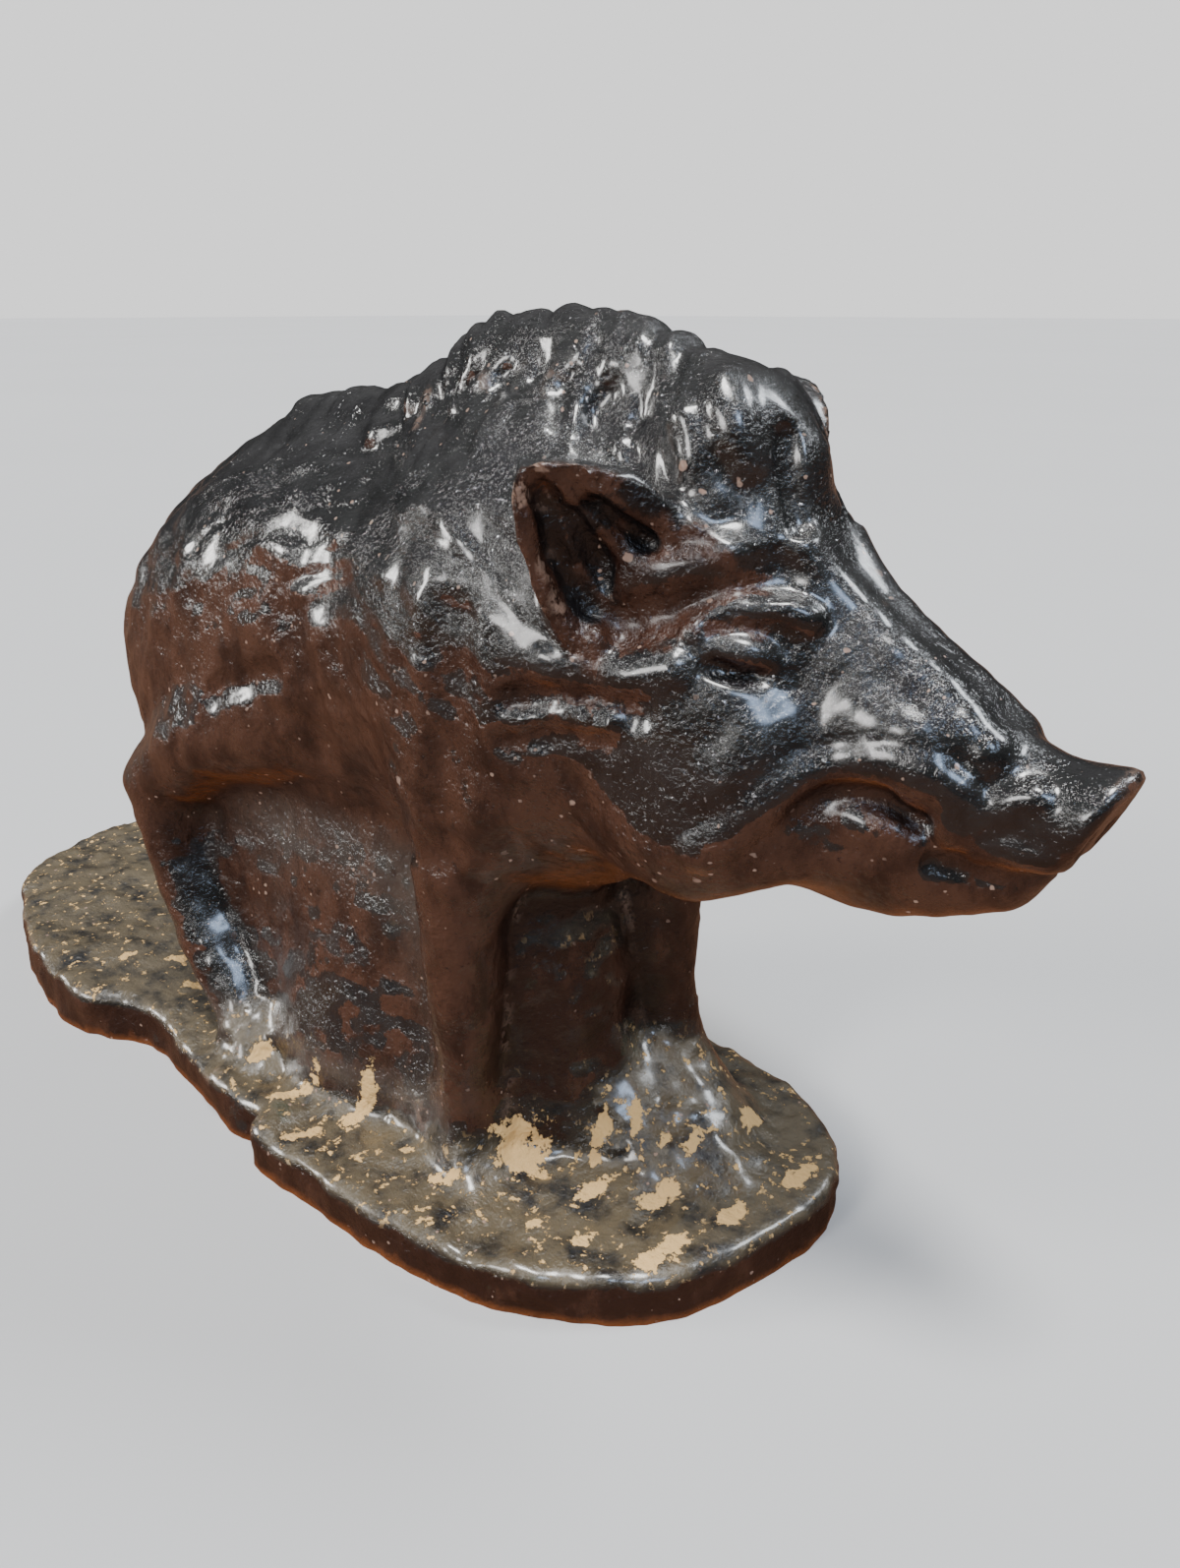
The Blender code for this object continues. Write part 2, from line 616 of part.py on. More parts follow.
def build():
    """Clears the scene and makes the figurine."""
    for old in list(bpy.data.objects):
        bpy.data.objects.remove(old)
    mesh = worked_surface(all_forms())
    mesh = with_modifier(mesh, "TRIANGULATE")
    mesh = with_modifier(mesh, "DECIMATE", ratio=min(1.0, TRIANGLES / len(mesh.polygons)))
    flatten_underside(mesh, -PLINTH_THICKNESS / POINT)
    places = read_vectors(mesh.vertices, "co", len(mesh.vertices))
    middle = 0.5 * (places.min(axis=0) + places.max(axis=0))
    middle[2] = -PLINTH_THICKNESS / POINT
    mesh.transform(Matrix.Scale(POINT, 4) @ Matrix.Translation(-middle))
    mesh.shade_smooth()
    mesh.set_sharp_from_angle(angle=SHARP_EDGE)
    mesh.materials.clear()
    mesh.materials.append(glazed_black())
    mesh.name = NAME
    figurine = bpy.data.objects.new(NAME, mesh)
    home = bpy.data.collections.new(NAME)
    bpy.context.scene.collection.children.link(home)
    home.objects.link(figurine)
    return figurine


build()
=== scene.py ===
"""The cast boar figurine on its earthen plinth: the fine surface, its dark glaze and the studio."""

import logging
import math
from abc import ABC, abstractmethod
from dataclasses import dataclass, field
from enum import Enum, IntEnum
from typing import Any, Sequence

import bmesh
import bpy
import numpy as np
from mathutils import Euler, Matrix, Vector


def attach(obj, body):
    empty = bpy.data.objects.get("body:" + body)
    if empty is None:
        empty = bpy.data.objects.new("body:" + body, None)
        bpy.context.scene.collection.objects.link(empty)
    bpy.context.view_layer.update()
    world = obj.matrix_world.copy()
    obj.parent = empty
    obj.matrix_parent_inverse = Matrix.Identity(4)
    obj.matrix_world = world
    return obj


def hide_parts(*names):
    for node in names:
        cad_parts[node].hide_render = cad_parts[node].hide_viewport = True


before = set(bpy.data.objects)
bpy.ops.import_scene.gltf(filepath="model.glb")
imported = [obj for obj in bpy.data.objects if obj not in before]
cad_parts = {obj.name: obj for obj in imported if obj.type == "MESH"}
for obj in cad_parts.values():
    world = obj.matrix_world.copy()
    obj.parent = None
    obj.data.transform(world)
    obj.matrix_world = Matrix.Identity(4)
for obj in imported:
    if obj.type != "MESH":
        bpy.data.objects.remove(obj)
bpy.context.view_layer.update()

log = logging.getLogger("boar")

Row = tuple[float, ...]
Rows = tuple[Row, ...]
Points = np.ndarray
Values = np.ndarray
Source = Any
Passes = tuple[tuple[float, int], ...]

NODE = "boar_figurine"
CAST = "boar_figurine_cast"
FAR = 1000.0
TINY = 1e-6  # keeps a division by nothing from failing

# The forms are laid out in points. The boar is 94 of them from the ground to the top of its mane.
BOAR_HEIGHT = 0.094
POINT = BOAR_HEIGHT / 94
PLINTH_THICKNESS = 6.0
CURVE_STEPS = 3  # places on a curve from one of its rows to the next

# How the lattice's values are mixed from the cell and the seed, in whole numbers
CELL_FACTORS = (73856093, 19349663, 83492791)
SEED_FACTOR = 40503
MIXING = ((13, 1274126177), (16, 668265263))
LOW_BITS = 0x7FFFFFFF
VALUE_STEPS = 65536


class Seed(IntEnum):
    """Which set of values each pattern draws from."""

    LUMPS = 1
    RIPPLES = 2
    WIDE_COMB = 3
    FINE_COMB = 4
    FINE_GRIT = 5
    COARSE_GRIT = 6
    TUFTS = 7
    DRIFT = 9
    WARTS = 21


def smooth_union(a: Values, b: Values, blend: float) -> Values:
    """Takes the smaller of two distances, rounded where they are closer than blend.

    Args:
        a: Distances to the first form.
        b: Distances to the second form.
        blend: How far the rounding reaches.

    Returns:
        The distances to both forms as one.
    """
    share = np.clip(0.5 + 0.5 * (b - a) / blend, 0.0, 1.0)
    return b + (a - b) * share - blend * share * (1.0 - share)


def smooth_cut(a: Values, b: Values, blend: float) -> Values:
    """Returns the distances to form a with form b taken out of it."""
    return -smooth_union(-a, b, blend)


def smooth_meet(a: Values, b: Values, blend: float) -> Values:
    """Returns the distances to what lies in both forms."""
    return -smooth_union(-a, -b, blend)


def one_side(p: Points) -> Points:
    """Returns points mirrored onto the left side."""
    return np.column_stack((p[:, 0], np.abs(p[:, 1]), p[:, 2]))


def smooth_step(values: Values, low: float, high: float) -> Values:
    """Returns 0 below low, 1 above high and an eased rise between them."""
    share = np.clip((values - low) / (high - low), 0.0, 1.0)
    return share * share * (3.0 - 2.0 * share)


def through(rows: Points, steps: int) -> Points:
    """Returns points along a Catmull-Rom curve from the second row to the last but one.

    Args:
        rows: The points to run through, with one before and one after them.
        steps: How many places to make from each point to the next.

    Returns:
        The places.
    """
    t = np.linspace(0.0, 1.0, steps, endpoint=False)[:, None]
    curve = []
    for a, b, c, d in zip(rows, rows[1:], rows[2:], rows[3:]):
        bend = 2 * a - 5 * b + 4 * c - d + t * (3 * (b - c) + d - a)
        curve.append(b + 0.5 * t * (c - a + t * bend))
    return np.vstack(curve)


def open_curve(points: Sequence[Row], steps: int) -> Points:
    """Returns a smooth curve from the first point to the last.

    Args:
        points: The points to run through.
        steps: How many places to make from each point to the next.

    Returns:
        The places.
    """
    rows = np.asarray(points, float)
    rows = np.vstack([2 * rows[0] - rows[1], rows, 2 * rows[-1] - rows[-2]])
    return np.vstack([through(rows, steps), rows[-2]])


def closed_curve(points: Sequence[Row], steps: int) -> Points:
    """Returns a smooth closed curve through the points."""
    rows = np.asarray(points, float)
    return through(np.vstack([rows[-1], rows, rows[:2]]), steps)


def lattice_values(cells: np.ndarray, seed: int) -> Values:
    """Gives each whole-number cell a value of its own.

    Args:
        cells: Rows of whole numbers.
        seed: Which set of values to draw from.

    Returns:
        Values from 0 to 1, the same in every run.
    """
    mixed = cells @ np.array(CELL_FACTORS) + seed * SEED_FACTOR
    for shift, factor in MIXING:
        mixed = (mixed ^ (mixed >> shift)) * factor & LOW_BITS
    return (mixed % VALUE_STEPS) / (VALUE_STEPS - 1.0)


def soft_noise(p: Points, size: float, seed: int) -> Values:
    """Makes smooth lumps that follow no pattern.

    Args:
        p: Where to measure.
        size: How far apart the lumps lie.
        seed: Which set of lumps to use.

    Returns:
        Values from -1 to 1.
    """
    scaled = p / size
    cell = np.floor(scaled).astype(np.int64)
    part = scaled - cell
    ease = part * part * (3.0 - 2.0 * part)
    total = np.zeros(len(p))
    for corner in np.ndindex(2, 2, 2):
        weight = np.prod(np.where(corner, ease, 1.0 - ease), axis=1)
        total += weight * lattice_values(cell + corner, seed)
    return 2.0 * total - 1.0


def cell_beads(p: Points, size: float, seed: int, share: float) -> Values:
    """Measures the distance to scattered bead centres, one in some of the cells of a grid.

    Args:
        p: Where to measure.
        size: The width of a cell.
        seed: Which set of beads to use.
        share: The share of the cells that hold a bead.

    Returns:
        Distances in points, or FAR where no bead is near.
    """
    cell = np.floor(p / size).astype(np.int64)
    best = np.full(len(p), FAR)
    for corner in np.ndindex(3, 3, 3):
        home = cell + np.array(corner) - 1
        spot = np.column_stack([lattice_values(home, seed + axis) for axis in range(3)])
        gap = np.linalg.norm(p - (home + spot) * size, axis=1)
        filled = lattice_values(home, seed + 3) < share
        best = np.where(filled, np.minimum(best, gap), best)
    return best


class Form(ABC):
    """One form of the figurine. A paired form stands on both sides, and a cut is taken out."""

    reach = 6.0

    def __init__(self, blend: float, paired: bool, cut: bool) -> None:
        """Keeps how the form joins the others."""
        self.blend, self.paired, self.cut = blend, paired, cut

    @abstractmethod
    def box(self) -> tuple[Points, Points]:
        """Returns the lowest and highest corners of the form."""

    @abstractmethod
    def measure(self, p: Points) -> Values:
        """Returns the signed distances from points to the form."""

    @abstractmethod
    def seeds(self) -> list[Matrix]:
        """Returns placings of a unit bead that together fill the form."""

    def distance(self, p: Points) -> Values:
        """Measures signed distances, exact only near the form's box.

        Args:
            p: Where to measure.

        Returns:
            The distances, or FAR where the form is out of reach.
        """
        low, high = self.box()
        margin = self.reach + self.blend
        near = np.all((p > low - margin) & (p < high + margin), axis=1)
        result = np.full(len(p), FAR)
        if near.any():
            result[near] = self.measure(p[near])
        return result

    def join(self, total: Values, p: Points) -> Values:
        """Returns the field after this form is blended into it."""
        blended = smooth_cut if self.cut else smooth_union
        return blended(total, self.distance(p), self.blend)


class Ball(Form):
    """An ellipsoid, given as x, y, z and three radii, turned by pitch and then yaw in degrees."""

    least_slope = 1e-9

    def __init__(self, row: Row, pitch: float = 0.0, yaw: float = 0.0, blend: float = 4.0,
                 paired: bool = False, cut: bool = False) -> None:
        """Places the ellipsoid."""
        super().__init__(blend, paired, cut)
        self.centre, self.radii = np.array(row[:3], float), np.array(row[3:], float)
        self.turn = np.array(Euler((0.0, math.radians(pitch), math.radians(yaw))).to_matrix())

    def box(self) -> tuple[Points, Points]:
        """Returns the lowest and highest corners."""
        return self.centre - self.radii.max(), self.centre + self.radii.max()

    def measure(self, p: Points) -> Values:
        """Returns the signed distances.

        Args:
            p: Where to measure.

        Returns:
            The distances, below zero inside the ellipsoid.
        """
        local = (p - self.centre) @ self.turn
        scaled = np.linalg.norm(local / self.radii, axis=1)
        slope = np.linalg.norm(local / self.radii**2, axis=1)
        return scaled * (scaled - 1.0) / np.maximum(slope, self.least_slope)

    def seeds(self) -> list[Matrix]:
        """Returns one stretched bead."""
        spread = Matrix.Diagonal((*self.radii, 1.0))
        return [Matrix.Translation(self.centre) @ Matrix(self.turn).to_4x4() @ spread]


class Limb(Form):
    """A round bar along a curve through rows of x, y, z and radius."""

    bead_spacing = 0.6
    least_run = 1e-12

    def __init__(self, rows: Rows, blend: float = 4.0, paired: bool = False, cut: bool = False,
                 steps: int = CURVE_STEPS) -> None:
        """Runs a smooth path through the rows."""
        super().__init__(blend, paired, cut)
        self.path = open_curve(rows, steps)

    def box(self) -> tuple[Points, Points]:
        """Returns the lowest and highest corners."""
        radii = self.path[:, 3:]
        return (self.path[:, :3] - radii).min(axis=0), (self.path[:, :3] + radii).max(axis=0)

    def measure(self, p: Points) -> Values:
        """Returns the signed distances.

        Args:
            p: Where to measure.

        Returns:
            The distances, below zero inside the bar.
        """
        best = np.full(len(p), FAR)
        for a, b in zip(self.path, self.path[1:]):
            run, offset = b[:3] - a[:3], p - a[:3]
            t = np.clip(offset @ run / max(run @ run, self.least_run), 0.0, 1.0)
            gap = np.linalg.norm(offset - t[:, None] * run, axis=1)
            best = np.minimum(best, gap - (a[3] + t * (b[3] - a[3])))
        return best

    def seeds(self) -> list[Matrix]:
        """Returns a string of beads along the path.

        Returns:
            The placings of the beads.
        """
        made = []
        for a, b in zip(self.path, self.path[1:]):
            length = np.linalg.norm(b[:3] - a[:3])
            count = max(1, math.ceil(length / (self.bead_spacing * min(a[3], b[3]))))
            for t in np.linspace(0.0, 1.0, count, endpoint=False):
                row = a + t * (b - a)
                made.append(Matrix.Translation(row[:3]) @ Matrix.Scale(row[3], 4))
        return made


@dataclass(frozen=True)
class Fold:
    """A soft fold along a path: how wide it is and how far it stands out, below zero for a groove."""

    path: Rows
    width: float
    lift: float = 1.0


class Stroke(Limb):
    """The form of a fold."""

    def __init__(self, fold: Fold, paired: bool = True, steps: int = CURVE_STEPS) -> None:
        """Keeps the fold's path, width and height."""
        super().__init__(tuple((*row[:3], 0.0) for row in fold.path), paired=paired, steps=steps)
        self.width, self.lift = fold.width, fold.lift
        self.reach = fold.width

    def join(self, total: Values, p: Points) -> Values:
        """Returns the field with the fold raised from it."""
        near = np.minimum(self.distance(p) / self.width, 1.0)
        return total - self.lift * (1.0 - near**2) ** 2

    def seeds(self) -> list[Matrix]:
        """Returns nothing, for a fold is part of the skin."""
        return []


def strokes(*folds: Fold) -> list[Form]:
    """Returns the forms of folds that lie on both sides."""
    return [Stroke(fold) for fold in folds]


class Ear(Form):
    """A cupped leaf growing from root to tip. Its front edge lies towards the front point."""

    tip_power = 2.4
    tip_point = 0.75
    tip_flatness = 0.7
    least_width = 0.03
    root_share = 0.3
    rim_reach = 1.3
    rim_blend = 1.0
    bead_rows = (-0.25, 0.95)
    bead_size = 1.2
    face_margins = (0.6, 0.4)
    face_root = 0.15
    face_rise = (0.3, 0.9)
    face_end = (3.5, 5.0)

    def __init__(self, root: Row, tip: Row, front: Row, half_width: float, hollow: float, wall: float,
                 blend: float = 2.0) -> None:
        """Sets the leaf's own axes."""
        super().__init__(blend, False, False)
        self.root = np.array(root, float)
        up = np.array(tip, float) - self.root
        self.length = np.linalg.norm(up)
        self.up = up / self.length
        across = np.array(front, float) - self.root
        across -= (across @ self.up) * self.up
        self.across = across / np.linalg.norm(across)
        opening = np.cross(self.up, self.across)
        self.opening = opening * np.sign(opening[0])
        self.half_width, self.hollow, self.wall = half_width, hollow, wall

    def width_at(self, rise: Values) -> Values:
        """Returns the half width at a share of the length."""
        return self.half_width * np.maximum(1.0 - rise**self.tip_power, self.least_width) ** self.tip_point

    def sheet_at(self, rise: Values, reach: Values) -> Values:
        """Returns how far the cup lies behind its rims, at shares of the length and the half width."""
        return self.hollow * (1.0 - self.tip_flatness * rise) * (reach * reach - 1.0)

    def spot(self, rise: float, side: float, above: float = 0.0) -> Row:
        """Finds a place on the cupped sheet.

        Args:
            rise: The share of the length from the root.
            side: The share of the half width, above zero towards the front edge.
            above: How far the place stands in front of the middle of the sheet.

        Returns:
            The place as x, y, z.
        """
        out = above + self.sheet_at(rise, side)
        width = self.width_at(np.array(max(rise, 0.0)))
        place = self.root + rise * self.length * self.up + side * width * self.across + out * self.opening
        return tuple(place)

    def box(self) -> tuple[Points, Points]:
        """Returns the lowest and highest corners."""
        reach = self.half_width + self.hollow
        sunk = self.root_share * self.length
        ends = np.array((self.root - sunk * self.up, self.root + self.length * self.up))
        return ends.min(axis=0) - reach, ends.max(axis=0) + reach

    def own_axes(self, p: Points) -> tuple[Values, Values, Values, Values]:
        """Measures points along the leaf's own axes.

        Args:
            p: Where to measure.

        Returns:
            How far along and across the leaf the points lie, how far in front of it, and its width there.
        """
        offset = p - self.root
        along = offset @ self.up
        width = self.width_at(np.clip(along / self.length, 0.0, 1.0))
        return along, offset @ self.across, offset @ self.opening, width

    def measure(self, p: Points) -> Values:
        """Returns the signed distances.

        Args:
            p: Where to measure.

        Returns:
            The distances, below zero inside the leaf.
        """
        along, side, out, width = self.own_axes(p)
        rise = np.clip(along / self.length, 0.0, 1.0)
        sheet = self.sheet_at(rise, np.minimum(np.abs(side) / width, self.rim_reach))
        leaf = smooth_meet(np.abs(out - sheet) - self.wall, np.abs(side) - width, self.rim_blend)
        leaf = smooth_meet(leaf, along - self.length, self.rim_blend)
        return smooth_meet(leaf, -along - self.root_share * self.length, self.rim_blend)

    def inside(self, p: Points) -> Values:
        """Returns 1 on the cupped face of the ear and 0 elsewhere.

        Args:
            p: Where to measure.

        Returns:
            Values from 0 to 1.
        """
        along, side, out, width = self.own_axes(p)
        rise = np.clip(along / self.length, 0.0, 1.0)
        front = out - self.sheet_at(rise, np.minimum(np.abs(side) / width, 1.0))
        past_side, past_tip = self.face_margins
        within = (np.abs(side) < width + past_side) & (along < self.length + past_tip)
        within &= along > -self.face_root * self.length
        return within * smooth_step(front, *self.face_rise) * (1.0 - smooth_step(front, *self.face_end))

    def seeds(self) -> list[Matrix]:
        """Returns a grid of beads on the cupped sheet.

        Returns:
            The placings of the beads.
        """
        made = []
        first, last = self.bead_rows
        for rise in np.arange(first, last, self.wall / self.length):
            width = float(self.width_at(np.array(max(rise, 0.0))))
            for side in np.arange(-last, last, self.wall / width):
                bead = Matrix.Scale(self.bead_size * self.wall, 4)
                made.append(Matrix.Translation(Vector(self.spot(rise, side))) @ bead)
        return made


class Slab(Form):
    """The ground: a slab inside a closed outline, rising between two places along X."""

    pad_spacing = 5.0
    least_pad = 0.5
    sink = 4.0

    def __init__(self, outline: Rows, rise: Row, rear_rise: float, edge_round: float,
                 blend: float = 3.0) -> None:
        """Runs a smooth outline through the rows."""
        super().__init__(blend, False, False)
        self.outline = closed_curve(outline, CURVE_STEPS)
        self.rise_from, self.rise_to = rise
        self.rear_rise, self.edge_round = rear_rise, edge_round

    def box(self) -> tuple[Points, Points]:
        """Returns the lowest and highest corners."""
        low, high = self.outline.min(axis=0), self.outline.max(axis=0)
        return np.array((*low, -PLINTH_THICKNESS - self.sink)), np.array((*high, self.rear_rise))

    def edge_distance(self, flat: Points) -> Values:
        """Measures from above how far points lie from the outline.

        Args:
            flat: Rows of x and y.

        Returns:
            The distances, below zero inside the outline.
        """
        best = np.full(len(flat), FAR)
        inside = np.zeros(len(flat), bool)
        for a, b in zip(self.outline, np.roll(self.outline, -1, axis=0)):
            run, offset = b - a, flat - a
            t = np.clip(offset @ run / (run @ run), 0.0, 1.0)
            best = np.minimum(best, np.linalg.norm(offset - t[:, None] * run, axis=1))
            crosses = (a[1] > flat[:, 1]) != (b[1] > flat[:, 1])
            slope = run[0] / (run[1] or TINY)
            inside ^= crosses & (flat[:, 0] < a[0] + slope * (flat[:, 1] - a[1]))
        return np.where(inside, -best, best)

    def measure(self, p: Points) -> Values:
        """Returns the signed distances.

        Args:
            p: Where to measure.

        Returns:
            The distances, below zero inside the slab.
        """
        rise = np.clip((self.rise_from - p[:, 0]) / (self.rise_from - self.rise_to), 0.0, 1.0)
        above = p[:, 2] - self.rear_rise * rise
        slab = smooth_meet(self.edge_distance(p[:, :2]), above, self.edge_round)
        return np.maximum(slab, -PLINTH_THICKNESS - self.sink - p[:, 2])

    def seeds(self) -> list[Matrix]:
        """Returns flat pads, each as wide as fits inside the outline.

        Returns:
            The placings of the pads.
        """
        low, high = self.outline.min(axis=0), self.outline.max(axis=0)
        spots = np.array([
            (x, y)
            for x in np.arange(low[0], high[0], self.pad_spacing)
            for y in np.arange(low[1], high[1], self.pad_spacing)
        ])
        height = 0.5 * (PLINTH_THICKNESS + self.sink)
        made = []
        for spot, reach in zip(spots, -self.edge_distance(spots)):
            if reach > self.least_pad * self.pad_spacing:
                spread = Matrix.Diagonal((reach, reach, height, 1.0))
                made.append(Matrix.Translation((*spot, -height)) @ spread)
        return made


@dataclass
class Trunk:
    """Ribs, shoulder, rump, hump, neck and the tail curled against the rump."""

    ribs: Row = (-36, 0, 58.5, 38, 19, 24)
    shoulder: Row = (-8, 0, 60, 22, 20, 27)
    rump: Row = (-60, 0, 51.8, 24, 16.5, 21.4)
    buttock: Row = (-67.5, 8, 45, 13.5, 8.3, 15)
    neck: Rows = ((-6, 0, 61, 21), (6, 0, 62, 17), (13, 0, 63, 14))
    hump: Row = (-8, 0, 73.5, 26, 8, 14)
    tail: Rows = ((-80, 0, 56, 3.0), (-85.4, -1, 56.4, 2.4), (-86.8, -5, 54.4, 2.1), (-84.6, -8, 50.6, 1.6))

    def forms(self) -> list[Form]:
        """Returns the trunk's forms."""
        return [
            Ball(self.ribs),
            Ball(self.shoulder, blend=8),
            Ball(self.rump, pitch=-18, blend=8),
            Ball(self.buttock, pitch=10, blend=6, paired=True),
            Limb(self.neck, blend=6),
            Ball(self.hump, pitch=-3, blend=6),
            Limb(self.tail, blend=1.5),
        ]


@dataclass
class Mane:
    """The crest along the back of the neck, with locks combed down both sides."""

    crest: Rows = (
        (19, 81.5), (12, 86.6), (4, 88.8), (-6, 90.8), (-15, 90.2),
        (-23, 86.8), (-33, 82.2), (-44, 81.6), (-50, 80.0), (-56, 76.5),
    )
    crest_radius: float = 3.1
    crown: Row = (13, -1, 83.2, 6.5, 7.5, 6)
    crest_blend: float = 5.0
    crown_blend: float = 3.0
    lock_spacing: float = 4.4
    lock_width: float = 2.2
    lock_lift: float = 1.0
    lock_steps: int = 2
    lock_waves: Row = (2.3, 1.7, 1.9)
    lock_lifts: Row = (0.6, 0.4)
    above_crest: float = 2.0

    def forms(self) -> list[Form]:
        """Returns the crest, the crown and the locks.

        Returns:
            The forms, in the order they are blended.
        """
        crest = Limb(tuple((x, 0, z, self.crest_radius) for x, z in self.crest), blend=self.crest_blend)
        ridge = crest.path[::-1]
        first, last = ridge[0, 0] + self.lock_spacing, ridge[-1, 0] - self.lock_spacing
        made: list[Form] = [crest, Ball(self.crown, blend=self.crown_blend)]
        for start in np.arange(first, last, self.lock_spacing):
            top = np.interp(start, ridge[:, 0], ridge[:, 2]) + self.above_crest
            made.append(Stroke(self.lock(start, top), steps=self.lock_steps))
        return made

    def lock(self, start: float, top: float) -> Fold:
        """Works out one lock, waved by where it starts.

        Args:
            start: Where the lock leaves the crest, along X.
            top: How high the crest is there.

        Returns:
            The lock as a fold.
        """
        wave_rate, drift_rate, lift_rate = self.lock_waves
        wave, drift = math.sin(wave_rate * start), math.cos(drift_rate * start)
        path = (
            (start, 0.0, top),
            (start - 1.0 - 0.6 * wave, 4.0 + 0.6 * drift, top - 3.2),
            (start - 3.4 + 0.9 * wave, 7.0 + drift, top - 8.6 - 2.0 * wave),
        )
        lift = self.lock_lifts[0] + self.lock_lifts[1] * math.sin(lift_rate * start)
        return Fold(path, self.lock_width, self.lock_lift * lift)


@dataclass
class Head:
    """Skull, nose, jaw, jowls and snout disk, with the tufts of the brow."""

    skull: Row = (13, 0, 70.2, 11.5, 11.5, 12.5)
    nose: Rows = ((19, 0, 66.2, 9.4), (28, 0, 62.0, 7.8), (36, 0, 58.6, 6.5), (45, 0, 55.4, 4.6))
    jaw: Rows = ((10, 0, 49, 11), (22, 0, 48.4, 6.6), (33, 0, 47.9, 5.6), (41.5, 0, 50.0, 4.4))
    jaw_side: Rows = ((17, 8.6, 49.6, 6.0), (26, 6.0, 50.2, 4.6), (35, 3.6, 50.8, 3.4))
    jowl: Row = (15, 10, 55, 11, 6, 12)
    snout: Rows = ((44, 0, 55.8, 4.6), (51.5, 0, 55.4, 5.4))
    disk_cut: Row = (103.9, 0, 30, 60, 60, 60)
    temple: Fold = Fold(((11.5, 13.4, 73.4), (15.0, 11.4, 73.2), (19.0, 9.6, 74.0)), 4.0, 1.3)
    outer_tuft: Fold = Fold(((12.0, 8.2, 85.0), (14.2, 8.6, 82.0), (15.8, 8.6, 78.8)), 3.0, 1.1)
    inner_tuft: Fold = Fold(((14.6, 4.6, 87.8), (16.8, 6.0, 85.2), (18.2, 6.4, 82.2)), 2.8, 1.1)
    slit: Fold = Fold(((20.0, 3.0, 84.0), (21.0, 3.7, 80.0), (22.6, 4.2, 76.6)), 1.5, -1.1)
    nose_ridge: Fold = Fold((
        (23.7, 4.1, 74.9), (27.6, 2.9, 71.1), (32.7, 3.1, 67.3), (37.0, 3.3, 64.5), (41.1, 4.0, 61.4),
    ), 3.2, 0.9)

    def forms(self) -> list[Form]:
        """Returns the head's main forms, with the tufts of the brow."""
        return [
            Ball(self.skull),
            Limb(self.nose, blend=3),
            Limb(self.jaw),
            Limb(self.jaw_side, blend=3, paired=True),
            Ball(self.jowl, blend=5, paired=True),
            Limb(self.snout, blend=1.5),
            Ball(self.disk_cut, blend=1.6, cut=True),
            *strokes(self.temple, self.outer_tuft, self.inner_tuft, self.slit, self.nose_ridge),
        ]


@dataclass
class Eyes:
    """Brow furrow, brow, lid crease, socket and eyeball of both eyes."""

    furrow: Fold = Fold(((12, 14.2, 68.5), (16, 12.6, 70.2), (19.6, 10.4, 72.0), (23, 7.6, 73.4)), 3.2, -1.6)
    brow: Fold = Fold((
        (17.5, 12.4, 69.2), (20.5, 10.4, 70.9), (23.4, 8.7, 71.2), (26.0, 7.4, 70.2),
    ), 2.2, 1.1)
    lid: Fold = Fold((
        (19.0, 11.8, 68.9), (21.2, 10.8, 69.4), (23.4, 9.8, 69.0), (25.0, 9.2, 67.8),
    ), 1.5, -0.6)
    socket: Row = (21.9, 11.7, 65.6, 2.8, 1.3, 0.8)
    eyeball: Row = (22.0, 10.1, 66.9, 2.5, 1.3, 1.2)
    pitch: float = 8.0
    yaw: float = -33.0

    def forms(self) -> list[Form]:
        """Returns the forms of both eyes."""
        return [
            *strokes(self.furrow, self.brow, self.lid),
            Ball(self.socket, self.pitch, self.yaw, blend=1.2, paired=True, cut=True),
            Ball(self.eyeball, self.pitch, self.yaw, blend=1.0, paired=True),
        ]


